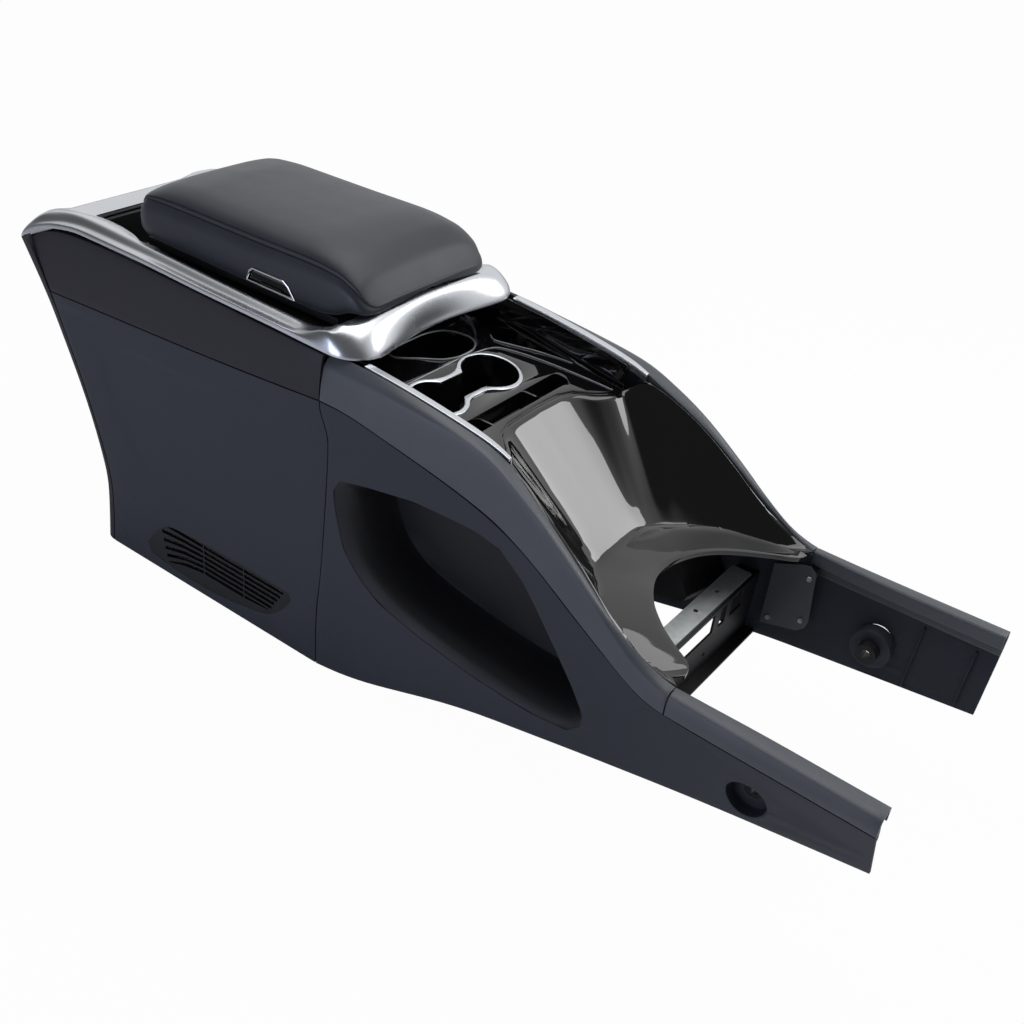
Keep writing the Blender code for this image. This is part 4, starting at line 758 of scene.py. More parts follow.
@dataclass(frozen=True)
class Outline:
    """One outline that the frame's surface passes, in metres.

    Attributes:
        place: Its place on the cross section, from 0 at the outer edge to 1 at the opening.
        ends: Its rear and front end along X.
        wide: Its half width at rear and front.
        rear_round: Length along X and along Y of its rear corners.
        front_round: Radius of its front corners.
        recess: How far the middle of the cross bar stands back.
        taper: Place behind which it narrows; None narrows it all along.
    """

    place: float
    ends: tuple[float, float]
    wide: tuple[float, float]
    rear_round: tuple[float, float]
    front_round: float
    recess: float = 0.0
    taper: float | None = None


@dataclass(frozen=True)
class FrameSizes:
    """Sizes of the satin frame in metres.

    Attributes:
        edge: Height of its outer lower edge along X.
        ridge: Height of its ridge along X.
        sag: Drop of the ledge beside the rear pocket along X.
        crest: Rise of the ridge beside the pad along X.
        dip: Dip of the ridge at the front end of the hinge side along X.
        flank: Share from 0 to 1 by which the side is a flat flank along X.
        shoulder: Place of the shoulder between edge and ridge, where round and where flat.
        swell: How far the shoulder stands over that place, where round and where flat.
        lips: Height over the edge of the first three outlines.
        arch: Rise of the cross bar at shoulder and ridge.
        arch_edge: Rise of its lower edge.
        arch_w: Half width over which the cross bar rises.
        arch_run: Length behind the side joint over which the rise sets in.
        reach: How far along X the shoulder takes its height from edge and ridge.
        dip_start: Half width from which the ridge dips.
        dip_run: Width over which the dip sets in.
        crown: Lift of the two outlines of the ridge.
        slope: Drop of the inner one beside the pad.
        sill: Depth of the opening's edge below the ridge.
        step: Further drop of that edge beside the pad.
        shoulder_drop: Start along Y, span and depth of the shoulder's drop at the rear bar.
        ridge_drop: The same of the ridge.
        sill_drop: Start and span of the same at the opening.
        outlines: The outlines from the outer edge over the ridge to the opening.
        skirt: Depths of the two steps by which the opening's edge turns down.
        wall: Thickness of the moulding.
        round: Radius of its edges.
    """

    edge: Profile = ((-0.520, 0.366), (-0.508, 0.3745), (-0.475, 0.393), (-0.439, 0.4055),
                     (-0.388, 0.4130), (-0.297, 0.4130), (-0.189, 0.4100), (-0.087, 0.4085),
                     (-0.009, 0.4063), (0.016, 0.4058), (0.043, 0.4048))
    ridge: Profile = ((-0.492, 0.4045), (-0.474, 0.4120), (-0.452, 0.4190), (-0.430, 0.4235),
                      (-0.408, 0.4250), (-0.291, 0.4220), (-0.162, 0.4175), (-0.045, 0.4150),
                      (-0.020, 0.4210), (0.003, 0.4320))
    sag: Profile = ((-0.432, 0.0100), (-0.410, 0.0075), (-0.386, 0.0045), (-0.362, 0.0025),
                    (-0.300, 0.0))
    crest: Profile = ((-0.440, 0.0), (-0.380, 0.0024), (-0.060, 0.0028), (-0.015, 0.0))
    dip: Profile = ((-0.045, 0.0), (-0.012, -0.0024), (0.018, -0.0024), (0.040, 0.0))
    flank: Profile = ((-0.470, 0.0), (-0.430, 1.0), (-0.050, 1.0), (-0.010, 0.0))
    shoulder: tuple[float, float] = (0.68, 0.52)
    swell: tuple[float, float] = (0.0030, 0.0006)
    lips: tuple[float, float, float] = (0.0, 0.0016, 0.0050)
    arch: float = 0.0062
    arch_edge: float = -0.003
    arch_w: float = 0.12
    arch_run: float = 0.020
    reach: float = 0.012
    dip_start: float = 0.080
    dip_run: float = 0.030
    crown: tuple[float, float] = (0.0003, -0.0006)
    slope: float = 0.0024
    sill: float = 0.003
    step: float = 0.0065
    shoulder_drop: tuple[float, float, float] = (0.120, 0.030, 0.0030)
    ridge_drop: tuple[float, float, float] = (0.114, 0.030, 0.0045)
    sill_drop: tuple[float, float] = (0.1135, 0.022)
    outlines: tuple[Outline, ...] = (
        Outline(0.0, (-0.5180, 0.0430), (0.1400, 0.1430), (0.019, 0.018), 0.038, 0.0150),
        Outline(0.05, (-0.5176, 0.0427), (0.1400, 0.1430), (0.019, 0.018), 0.038, 0.0150),
        Outline(0.16, (-0.5150, 0.0418), (0.1394, 0.1424), (0.019, 0.018), 0.038, 0.0150),
        Outline(0.48, (-0.4880, 0.0280), (0.1320, 0.1350), (0.024, 0.022), 0.032, 0.0070),
        Outline(0.68, (-0.4780, 0.0180), (0.1235, 0.1245), (0.024, 0.017), 0.026, 0.0070),
        Outline(0.82, (-0.4660, 0.0060), (0.1165, 0.1185), (0.022, 0.013), 0.020, 0.0040),
        Outline(1.0, (-0.4320, -0.0080), (0.0875, 0.1140), (0.008, 0.008), 0.016, 0.0, -0.312))
    skirt: tuple[float, float] = (0.0008, 0.0052)
    wall: float = 0.0022
    round: float = 0.0004


class SatinFrame:
    """The satin frame round armrest and rear pocket.

    Attributes:
        SIDE_POINTS: Points of an outline along one side.
        TURN_POINTS: Points round each corner and along half of each end.
        ROWS: Rows of the surface between its outer edge and the opening.
        HOLLOW: Power that shapes the hollow in the cross bar.
        FLARE: Power that shapes the narrowing towards the rear pocket.
        REAR: Place behind which the rear bar drops.
        BESIDE: Start and end of the pad's side along X, each with the length of its onset.
    """

    SIDE_POINTS = 40
    TURN_POINTS = 12
    ROWS = 25
    HOLLOW = 1.5
    FLARE = 0.7
    REAR = -0.2
    BESIDE = ((-0.33, 0.04), (-0.012, 0.02))

    def __init__(self, sizes: FrameSizes) -> None:
        """Keeps the sizes.

        Args:
            sizes: Sizes of the frame.
        """
        self.sizes = sizes

    def loop(self, line: Outline, height: Callable[[float, float], float]) -> list[Vector]:
        """Draws one closed outline of the frame.

        Args:
            line: Sizes of the outline.
            height: Height at a place in plan.

        Returns:
            Points of the outline, the first one given again at the end.
        """
        rear, front = line.ends
        along, across = line.rear_round
        radius = line.front_round
        straight = line.wide[1] - radius
        start = front - radius if line.taper is None else line.taper
        half = []
        for i in range(self.TURN_POINTS):
            share = i / self.TURN_POINTS
            half.append((front - line.recess * (1.0 - share * share) ** self.HOLLOW,
                         straight * share))
        for i in range(self.TURN_POINTS):
            angle = math.pi / 2.0 * i / self.TURN_POINTS
            half.append((front - radius + radius * math.cos(angle),
                         straight + radius * math.sin(angle)))
        for i in range(self.SIDE_POINTS):
            x = mix(front - radius, rear + along, i / self.SIDE_POINTS)
            inward = max(0.0, (start - x) / (start - rear - along))
            if line.taper is not None:
                inward = inward ** self.FLARE
            half.append((x, mix(line.wide[1], line.wide[0], inward)))
        for i in range(self.TURN_POINTS):
            angle = math.pi / 2.0 * (1.0 + i / self.TURN_POINTS)
            half.append((rear + along + along * math.cos(angle),
                         line.wide[0] - across + across * math.sin(angle)))
        for i in range(self.TURN_POINTS + 1):
            half.append((rear, (line.wide[0] - across) * (1.0 - i / self.TURN_POINTS)))
        plan = half + [(x, -y) for x, y in reversed(half[:-1])]
        return [Vector((x, y, height(x, y))) for x, y in plan]

    def rise(self, x: float, y: float, height: float) -> float:
        """Rise of the cross bar at one place."""
        across = max(0.0, 1.0 - (y / self.sizes.arch_w) ** 2)
        return height * across * clamp((x + self.sizes.arch_run) / self.sizes.arch_run)

    def crest(self, x: float, y: float) -> float:
        """Rise of the ridge at one place; the hinge side dips under the corner of the open lid."""
        if y < 0.0:
            return curve(self.sizes.crest, x)
        return curve(self.sizes.dip, x) * clamp((y - self.sizes.dip_start) / self.sizes.dip_run)

    def beside(self, x: float) -> float:
        """Share from 0 to 1 by which a place lies beside the pad."""
        (start, before), (end, after) = self.BESIDE
        return clamp((x - start) / before) * clamp((end - x) / after)

    def drop(self, x: float, y: float, start: float, span: float, depth: float) -> float:
        """Drop of the rear bar at one place."""
        share = clamp((start - abs(y)) / span)
        return depth * share * share * (3.0 - 2.0 * share) if x < self.REAR else 0.0

    def heights(self) -> list[Callable[[float, float], float]]:
        """Tells how high each outline runs.

        Returns:
            For each outline, its height at a place in plan.
        """
        s = self.sizes

        def edge(lift: float) -> Callable[[float, float], float]:
            """Height over the outer edge."""
            return lambda x, y: curve(s.edge, x) + self.rise(x, y, s.arch_edge) + lift

        def shoulder(x: float, y: float) -> float:
            """Height of the shoulder, which is a flat flank along both sides."""
            flat = curve(s.flank, x)
            return (mix(curve(s.edge, x - s.reach),
                        curve(s.ridge, x + s.reach) + self.crest(x, y), mix(*s.shoulder, flat))
                    + self.rise(x, y, s.arch) + mix(*s.swell, flat)
                    - self.drop(x, y, *s.shoulder_drop))

        def ridge(x: float, y: float) -> float:
            """Height of the ridge."""
            return (curve(s.ridge, x) + self.crest(x, y) + self.rise(x, y, s.arch)
                    - self.drop(x, y, *s.ridge_drop))

        def opening(x: float, y: float) -> float:
            """Height of the edge of the opening; it drops away beside the pad."""
            return (curve(s.ridge, x) + self.rise(x, y, s.arch) - s.sill
                    - s.step * self.beside(x) - self.drop(x, y, *s.sill_drop, curve(s.sag, x)))

        return [*(edge(lift) for lift in s.lips), shoulder,
                lambda x, y: ridge(x, y) + s.crown[0],
                lambda x, y: ridge(x, y) + s.crown[1] - s.slope * self.beside(x), opening]

    def build(self) -> bpy.types.Object:
        """Makes the frame.

        Returns:
            The finished piece.
        """
        s = self.sizes
        keys = [self.loop(line, height) for line, height in zip(s.outlines, self.heights())]
        places = [line.place for line in s.outlines]
        columns = [through(column, self.ROWS, places) for column in zip(*keys)]
        rows = [list(row) for row in zip(*columns)]
        rim = rows[-1]
        rows += [[p - Vector((0.0, 0.0, depth)) for p in rim] for depth in s.skirt]
        piece = sheet("satin_frame", rows, s.wall, s.round)
        return finish_piece(piece, "console", Finishes.SATIN, 40.0, "trim_frame")


@dataclass(frozen=True)
class PadSizes:
    """Sizes of the leather pad in metres, each along X.

    Attributes:
        under: Height of its lower edge.
        seam: Height of the seam at its sides.
        crown: Height of the top above the seam.
        inset: How far its side stands in at both ends.
        arch: Hollow of the underside.
        half_width: Widest half width.
        belly: Place of a point of the underside, as a share of half width and hollow.
        side: Shape of the side, as how far it stands in and its share of the height to the seam.
        shoulder: How far the side stands in just over the seam, and its share of the crown.
        dome: Shape of the top as shares of width and crown.
    """

    under: Profile = ((-0.338, 0.4300), (-0.320, 0.4250), (-0.280, 0.4225), (-0.060, 0.4215),
                      (-0.040, 0.4230), (-0.020, 0.4280), (-0.008, 0.4340), (0.004, 0.4362),
                      (0.017, 0.4368))
    seam: Profile = ((-0.338, 0.4420), (-0.331, 0.4560), (-0.318, 0.4660), (-0.290, 0.4670),
                     (-0.150, 0.4675), (-0.060, 0.4686), (-0.025, 0.4664), (-0.001, 0.4585),
                     (0.012, 0.4480), (0.017, 0.4430))
    crown: Profile = ((-0.338, 0.0030), (-0.331, 0.0075), (-0.318, 0.0130), (-0.295, 0.0215),
                      (-0.250, 0.0256), (-0.080, 0.0256), (-0.030, 0.0226), (0.0, 0.0155),
                      (0.012, 0.0090), (0.017, 0.0055))
    inset: Profile = ((-0.338, 0.0220), (-0.335, 0.0130), (-0.328, 0.0060), (-0.310, 0.0010),
                      (-0.050, 0.0), (-0.005, 0.0010), (0.008, 0.0035), (0.014, 0.0085),
                      (0.017, 0.0160))
    arch: Profile = ((-0.045, 0.0), (-0.018, 0.0064), (0.017, 0.0060))
    half_width: float = 0.1060
    belly: float = 0.6
    side: Profile = ((0.0060, 0.0), (0.0010, 0.16), (0.0, 0.5), (0.0015, 0.85))
    shoulder: tuple[float, float] = (0.0055, 0.05)
    dome: Profile = ((0.945, 0.30), (0.860, 0.62), (0.660, 0.87), (0.340, 0.98))


@dataclass(frozen=True)
class SeamSizes:
    """Sizes of the sewn seams in metres.

    Attributes:
        places: Places of the two sewn lines on the cross section, from 0 below to 1 on top.
        depth: Depth of the leather's fold in a line.
        width: Width of the fold as a share of the cross section.
        band: Part of the cross section that a fold may touch.
        onset: Start and end of the folds along X, each with the length of its onset.
        run: First and last place of the stitches along X.
        stitch: Length of one stitch.
        gap: Gap between two stitches.
        thread: Radius of the thread.
        sunk: How far a stitch lies below the leather's line.
        bow: How far its ends dive below its middle.
        least: The least step along X from one stitch to the next.
    """

    places: tuple[float, float] = (0.415, 0.462)
    depth: float = 0.0016
    width: float = 0.0045
    band: tuple[float, float] = (0.3, 0.6)
    onset: Profile = ((-0.334, 0.012), (0.016, 0.01))
    run: tuple[float, float] = (-0.326, 0.012)
    stitch: float = 0.0040
    gap: float = 0.0009
    thread: float = 0.0006
    sunk: float = 0.0006
    bow: float = 0.0005
    least: float = 0.0006


class Armrest:
    """The leather pad with its sewn seams and the recess of the latch.

    Attributes:
        ENDS: Rear and front end along X.
        BENDS: Places behind and in front of which the cross sections stand closer together.
        STATIONS: Cross sections in the rear bend, along the middle and in the front bend.
        CLOSER: Powers by which they draw together towards the rear and the front end.
        MARKS: Places of the section's corner points, from 0 below to 1 on top.
        LINES: Mesh lines on one half of a cross section.
        CLEAR: Distance that these keep from a seam.
        LINES_AT_SEAM: Mesh lines at a seam, from its middle.
        STEP: Step to either side that tells how the section runs at a place.
        CAPS: Scale and bulge of the rings that close an end.
        RECESS: Outline of the latch recess as (x, z).
        RECESS_Y: Where the body that hollows it out starts and ends.
    """

    ENDS = (-0.338, 0.017)
    BENDS = (-0.310, -0.030)
    STATIONS = (12, 36, 16)
    CLOSER = (1.6, 1.5)
    MARKS = (0.0, 0.12, 0.20, 0.245, 0.30, 0.355, 0.405, 0.455, 0.53, 0.66, 0.83, 1.0)
    LINES = 44
    CLEAR = 0.012
    LINES_AT_SEAM = (-0.011, -0.006, -0.003, 0.0, 0.003, 0.006, 0.011)
    STEP = 0.004
    CAPS = ((0.93, 0.0010), (0.75, 0.0016), (0.45, 0.0020), (0.0, 0.0022))
    RECESS = ((-0.1525, 0.4252), (-0.1464, 0.4398), (-0.1412, 0.4438), (-0.0949, 0.4438),
              (-0.0867, 0.4388), (-0.0766, 0.4252))
    RECESS_Y = (-0.12, -0.0957)

    def __init__(self, sizes: PadSizes, seam: SeamSizes) -> None:
        """Keeps the sizes.

        Args:
            sizes: Sizes of the pad.
            seam: Sizes of its seams.
        """
        self.sizes = sizes
        self.seam = seam

    def section(self, x: float) -> list[tuple[float, float]]:
        """Draws one half of the cross section.

        Args:
            x: Place along the pad.

        Returns:
            Its corner points as (y, z), from below to the top.
        """
        p = self.sizes
        low, seam = curve(p.under, x), curve(p.seam, x)
        crown = curve(p.crown, x)
        wide = p.half_width - curve(p.inset, x)
        arch = curve(p.arch, x)
        half = [(0.0, low + arch), (wide * p.belly, low + p.belly * arch)]
        half += [(wide - inward, mix(low, seam, share)) for inward, share in p.side]
        half.append((wide - p.shoulder[0], seam + crown * p.shoulder[1]))
        half += [(wide * w, seam + crown * z) for w, z in p.dome]
        return half + [(0.0, seam + crown)]

    def place(self, x: float, share: float) -> Vector:
        """Point of the smooth surface.

        Args:
            x: Place along the pad.
            share: Place on the cross section, from 0 below to 1 on top.

        Returns:
            The point on the far side.
        """
        half = self.section(x)
        y, z = (curve([(m, q[axis]) for m, q in zip(self.MARKS, half)], share)
                for axis in range(2))
        return Vector((x, y, z))

    def outward(self, x: float, share: float) -> Vector:
        """Finds the direction away from the pad.

        Args:
            x: Place along the pad.
            share: Place on the cross section, from 0 below to 1 on top.

        Returns:
            The direction on the far side, of length 1.
        """
        a, b = (self.place(x, share + step) for step in (-self.STEP, self.STEP))
        along = (b - a).normalized()
        return Vector((0.0, along.z, -along.y))

    def shares(self) -> list[float]:
        """Places the mesh lines on the cross section, close together at the seams.

        Returns:
            Places from 0 below to 1 on top.
        """
        marks = [i / self.LINES for i in range(self.LINES + 1)]
        for at in self.seam.places:
            marks = [m for m in marks if abs(m - at) > self.CLEAR]
            marks += [at + step for step in self.LINES_AT_SEAM]
        return sorted(marks)

    def rows(self) -> list[list[Vector]]:
        """Draws the closed cross sections and the caps at both ends.

        Returns:
            Rings of points from the rear end to the front end.
        """
        shares = self.shares()
        seam = self.seam
        (rear, front), (rear_bend, front_bend) = self.ENDS, self.BENDS
        behind, along, ahead = self.STATIONS
        stations = [mix(rear, rear_bend, (i / behind) ** self.CLOSER[0]) for i in range(behind)]
        stations += [mix(rear_bend, front_bend, i / along) for i in range(along)]
        stations += [mix(front, front_bend, (1.0 - i / ahead) ** self.CLOSER[1])
                     for i in range(ahead + 1)]
        (start, before), (end, after) = seam.onset
        rows = []
        for x in stations:
            half = []
            for share in shares:
                point = self.place(x, share)
                if seam.band[0] < share < seam.band[1]:
                    fold = max(math.exp(-((share - at) / seam.width) ** 2) for at in seam.places)
                    ends = clamp((x - start) / before) * clamp((end - x) / after)
                    point -= self.outward(x, share) * seam.depth * fold * ends
                half.append(point)
            other = [Vector((q.x, -q.y, q.z)) for q in reversed(half[:-1])]
            rows.append(half + other)
        for near, sign in ((0, -1.0), (-1, 1.0)):
            ring = rows[near]
            middle = sum(ring, Vector()) / len(ring)
            caps = []
            for scale, bulge in self.CAPS:
                shift = Vector((sign * bulge, 0.0, 0.0))
                caps.append([middle.lerp(q, scale) + shift for q in ring])
            rows = list(reversed(caps)) + rows if near == 0 else rows + caps
        return rows

    def recess(self) -> bpy.types.Object:
        """Makes the body that hollows out the latch recess.

        Returns:
            The body, which isn't part of the console.
        """
        bpy.ops.mesh.primitive_circle_add(vertices=len(self.RECESS), fill_type="NGON")
        tool = bpy.context.active_object
        settle(tool)
        for vertex, (x, z) in zip(tool.data.vertices, self.RECESS):
            vertex.co = (x + JOINT_X, self.RECESS_Y[0], z)
        enter(tool)
        bpy.ops.mesh.select_all(action="SELECT")
        bpy.ops.mesh.extrude_region_move(
            TRANSFORM_OT_translate={"value": (0.0, self.RECESS_Y[1] - self.RECESS_Y[0], 0.0)})
        leave()
        face_outwards(tool)
        return tool

    def stitches(self) -> bpy.types.Object:
        """Sews both rows of stitches on both sides.

        Returns:
            All stitches as one piece.
        """
        seam = self.seam
        bpy.ops.mesh.primitive_cylinder_add(vertices=6, radius=seam.thread, depth=seam.stitch,
                                            end_fill_type="NGON")
        first = bpy.context.active_object
        first.name = "armrest_stitches"
        settle(first)
        shape = [v.co.copy() for v in first.data.vertices]
        faces = [tuple(f.vertices) for f in first.data.polygons]
        points, sides = [], []
        for share in seam.places:
            for side in (-1.0, 1.0):
                x, last = seam.run
                while x < last:
                    here, ahead = self.place(x, share), self.place(x + MM, share)
                    along = (ahead - here).normalized()
                    away = self.outward(x, share)
                    turn = along.to_track_quat("Z", "Y")
                    start = len(points)
                    for corner in shape:
                        dive = seam.sunk + seam.bow * (abs(corner.z) / seam.stitch * 2.0) ** 2
                        spot = here + turn @ corner - away * dive
                        points.append((spot.x + JOINT_X, side * spot.y, spot.z))
                    sides += [tuple(start + i for i in f) for f in faces]
                    x += max(along.x * (seam.stitch + seam.gap), seam.least)
        mesh = bpy.data.meshes.new("armrest_stitches")
        mesh.from_pydata(points, [], sides)
        first.data = mesh
        face_outwards(first)
        return first

    def build(self) -> list[bpy.types.Object]:
        """Makes the pad and sews it.

        Returns:
            The leather pad and its stitches.
        """
        pad = grid("armrest_leather", self.rows())
        tool = self.recess()
        hollow = pad.modifiers.new("recess", "BOOLEAN")
        hollow.operation = "DIFFERENCE"
        hollow.solver = "EXACT"
        hollow.object = tool
        apply_all(pad)
        bpy.data.objects.remove(tool)
        finish_piece(pad, "lid", Finishes.LEATHER, 48.0, "armrest_pad")
        sewn = self.stitches()
        return [pad, finish_piece(sewn, "lid", Finishes.THREAD, 60.0)]


@dataclass(frozen=True)
class TrayRim:
    """One polished rim of the gloss tray, coloured grey as a painted highlight of its rounded edge.

    Attributes:
        name: Name of the rim.
        outline: Its line in plan, as (x, y).
        lift: Its height over the sloping plane of the tray in metres.
        radius: Its radius in metres.
        closed: True where the line returns to its start.
        PLANE: Place along X, height there and fall of the tray's plane.
        STEPS: Sections from one point of the line to the next.
        SIDES: Sides of one section.
    """

    name: str
    outline: Profile
    lift: float
    radius: float = 0.0013
    closed: bool = True

    PLANE = (0.0945, 0.3640, 0.127)
    STEPS = 12
    SIDES = 8

    def build(self) -> bpy.types.Object:
        """Runs the rim along its line.

        Returns:
            The finished piece.
        """
        at_x, at_z, fall = self.PLANE
        line = list(self.outline)
        if self.closed:
            line = line[-2:] + line + line[:3]
        points = [Vector((x, y, at_z - fall * (x - at_x) + self.lift)) for x, y in line]
        path = through(points, self.STEPS * (len(line) - 1) + 1,
                       [i / (len(line) - 1) for i in range(len(line))])
        if self.closed:
            path = path[2 * self.STEPS:-2 * self.STEPS]
        up = Vector((0.0, 0.0, 1.0))
        angles = [2.0 * math.pi * k / self.SIDES for k in range(self.SIDES + 1)]
        rows = []
        for i, point in enumerate(path):
            ahead = path[min(i + 1, len(path) - 1)] - path[max(i - 1, 0)]
            across = ahead.cross(up).normalized()
            rows.append([point + self.radius * (math.cos(a) * across + math.sin(a) * up)
                         for a in angles])
        piece = grid(self.name, rows)
        # Its grey finish is a painted highlight on a piano black rim.
        return finish_piece(piece, "console", Finishes.RIM, 60.0)


RIMS = (
    TrayRim("oblong_pocket_rim", (
        (0.010, -0.047), (0.030, -0.024), (0.048, 0.000), (0.053, 0.020), (0.0525, 0.038),
        (0.046, 0.053), (0.034, 0.059), (0.017, 0.054), (0.003, 0.038), (-0.002, 0.010),
        (-0.002, -0.030), (0.001, -0.045)), -0.0020),
    TrayRim("side_pocket_rim", (
        (0.044, 0.084), (0.053, 0.079), (0.075, 0.0895), (0.096, 0.1010), (0.120, 0.1105),
        (0.138, 0.1160)), -0.0020, 0.0011, False),
    TrayRim("insert_rim", (
        (0.0570, -0.1100), (0.0570, -0.050), (0.0570, 0.000), (0.0620, 0.0520), (0.0680, 0.0660),
        (0.0800, 0.0740), (0.1000, 0.0830), (0.1400, 0.0945), (0.1850, 0.1035),
        (0.2000, 0.1058)), -0.0003, 0.0011, False),
)


@dataclass(frozen=True)
class RampSizes:
    """Outlines of the gloss ramp, from the arm tip to its middle, in metres.

    Attributes:
        edge: Upper outer edge along the rail and across the front of the tray.
        fold: Fold between slope and shelf.
        lip: Edge of the U-shaped cut-out.
        sag: How far the slope hangs below a straight line, for a fall of one metre.
        flange: Width of the flange along the upper edge.
        flange_share: The most of the way to the fold that the flange takes.
        flange_fall: How far it falls over its width.
        level: Height from which it lies level, and the height over which that sets in.
        gap: Gap to the rails.
        lip_depth: How far the lip turns down.
        wall: Thickness of the moulding.
        round: Radius of its edges.
    """

    edge: Sequence[Point] = (
        (0.4524, 0.1494, 0.2345), (0.4350, 0.1508, 0.2386), (0.4120, 0.1524, 0.2482),
        (0.3750, 0.1515, 0.2715), (0.3350, 0.1470, 0.3038), (0.2900, 0.1418, 0.3352),
        (0.2450, 0.1318, 0.3598), (0.2300, 0.1294, 0.3640), (0.2067, 0.1130, 0.3490),
        (0.2037, 0.1000, 0.3491), (0.1937, 0.0840, 0.3492), (0.1757, 0.0660, 0.3515),
        (0.1687, 0.0450, 0.3525), (0.1667, 0.0000, 0.3528))
    fold: Sequence[Point] = (
        (0.4430, 0.1405, 0.2352), (0.4270, 0.1388, 0.2326), (0.4129, 0.1360, 0.2323),
        (0.3874, 0.1270, 0.2341), (0.3620, 0.1145, 0.2378), (0.3420, 0.1015, 0.2392),
        (0.3270, 0.0885, 0.2402), (0.3165, 0.0765, 0.2408), (0.3080, 0.0665, 0.2412),
        (0.3015, 0.0560, 0.2418), (0.2980, 0.0470, 0.2425), (0.2964, 0.0360, 0.2434),
        (0.2960, 0.0200, 0.2442), (0.2960, 0.0000, 0.2445))
    lip: Sequence[Point] = (
        (0.4522, 0.1330, 0.2372), (0.4505, 0.1240, 0.2384), (0.4455, 0.1170, 0.2392),
        (0.4234, 0.1030, 0.2394), (0.4022, 0.0880, 0.2398), (0.3900, 0.0775, 0.2405),
        (0.3790, 0.0665, 0.2410), (0.3705, 0.0555, 0.2414), (0.3640, 0.0450, 0.2415),
        (0.3590, 0.0350, 0.2412), (0.3555, 0.0260, 0.2408), (0.3532, 0.0170, 0.2405),
        (0.3520, 0.0090, 0.2402), (0.3515, 0.0000, 0.2400))
    sag: Profile = ((0.0, 0.0), (0.40, 0.032), (0.78, 0.050), (0.95, 0.018), (1.0, 0.0))
    flange: float = 0.006
    flange_share: float = 0.3
    flange_fall: float = 0.0010
    level: tuple[float, float] = (0.240, 0.02)
    gap: float = 0.0008
    lip_depth: float = 0.0050
    wall: float = 0.0020
    round: float = 0.0006


class Ramp:
    """The concave gloss ramp in front of the tray.

    Attributes:
        COLUMNS: Columns of one half, from the arm tip to the middle.
        SLOPE_ROWS: Rows between flange and fold.
        SHELF_ROWS: Rows between fold and cut-out.
    """

    COLUMNS = 91
    SLOPE_ROWS = 30
    SHELF_ROWS = 8

    def __init__(self, sizes: RampSizes) -> None:
        """Keeps the sizes.

        Args:
            sizes: Sizes of the ramp.
        """
        self.sizes = sizes

    def row(self, points: Sequence[Vector]) -> list[Vector]:
        """Mirrors one half row to a whole one."""
        return list(points) + [Vector((p.x, -p.y, p.z)) for p in reversed(points[:-1])]

    def build(self) -> bpy.types.Object:
        """Makes the ramp.

        Returns:
            The finished piece.
        """
        s = self.sizes
        places = [i / (len(s.edge) - 1) for i in range(len(s.edge))]
        edge, fold, lip = (through([Vector(q) for q in line], self.COLUMNS, places)
                           for line in (s.edge, s.fold, s.lip))
        for point in edge:
            point.y = max(0.0, point.y - s.gap)
        rows = [self.row(edge)]
        start = []
        for a, b in zip(edge, fold):
            point = a.lerp(b, min(s.flange_share, s.flange / max((b - a).length, 1e-6)))
            level = clamp((a.z - s.level[0]) / s.level[1])
            point.z = mix(point.z, a.z - s.flange_fall, level)
            start.append(point)
        for i in range(self.SLOPE_ROWS + 1):
            share = i / self.SLOPE_ROWS
            line = []
            for a, b in zip(start, fold):
                point = a.lerp(b, share)
                point.z -= curve(s.sag, share) * max(a.z - b.z, 0.0)
                line.append(point)
            rows.append(self.row(line))
        for i in range(1, self.SHELF_ROWS + 1):
            rows.append(self.row([a.lerp(b, i / self.SHELF_ROWS) for a, b in zip(fold, lip)]))
        rows.append([p - Vector((0.0, 0.0, s.lip_depth)) for p in rows[-1]])
        piece = sheet("gloss_ramp", rows, s.wall, s.round)
        return finish_piece(piece, "console", Finishes.GLOSS, 42.0, "ramp")


# --------------------------------------------------------------------------------------------
# Studio
# --------------------------------------------------------------------------------------------


@dataclass(frozen=True)
class Softbox:
    """One softbox.

    Attributes:
        name: Name of the lamp.
        place: Its middle in metres.
        target: Point that it faces.
        size: Width and height in metres.
        power: Power in watts.
        tint: sRGB hex colour of its light.
    """

    name: str
    place: Point
    target: Point
    size: tuple[float, float]
    power: float
    tint: str = "#ffffff"

    def hang(self) -> None:
        """Hangs the softbox."""
        turn = (Vector(self.target) - Vector(self.place)).to_track_quat("-Z", "Y").to_euler()
        bpy.ops.object.light_add(type="AREA", location=self.place, rotation=turn)
        lamp = bpy.context.active_object
        lamp.name = self.name
        lamp.data.shape = "RECTANGLE"
        lamp.data.size, lamp.data.size_y = self.size
        lamp.data.energy = self.power
        lamp.data.color = linear(self.tint)[:3]


SOFTBOXES = (
    Softbox("softbox_top", place=(-0.1, 0.25, 1.9), target=(-0.05, 0.0, 0.3), size=(1.8, 1.2),
            power=15.0),
    Softbox("softbox_side", place=(-0.5, -2.0, 0.55), target=(0.0, 0.0, 0.15), size=(1.2, 0.8),
            power=9.0, tint="#dde4ff"),
    Softbox("softbox_front", place=(1.20, 1.40, 1.35), target=(0.2, 0.0, 0.3), size=(1.0, 0.8),
            power=10.5),
)


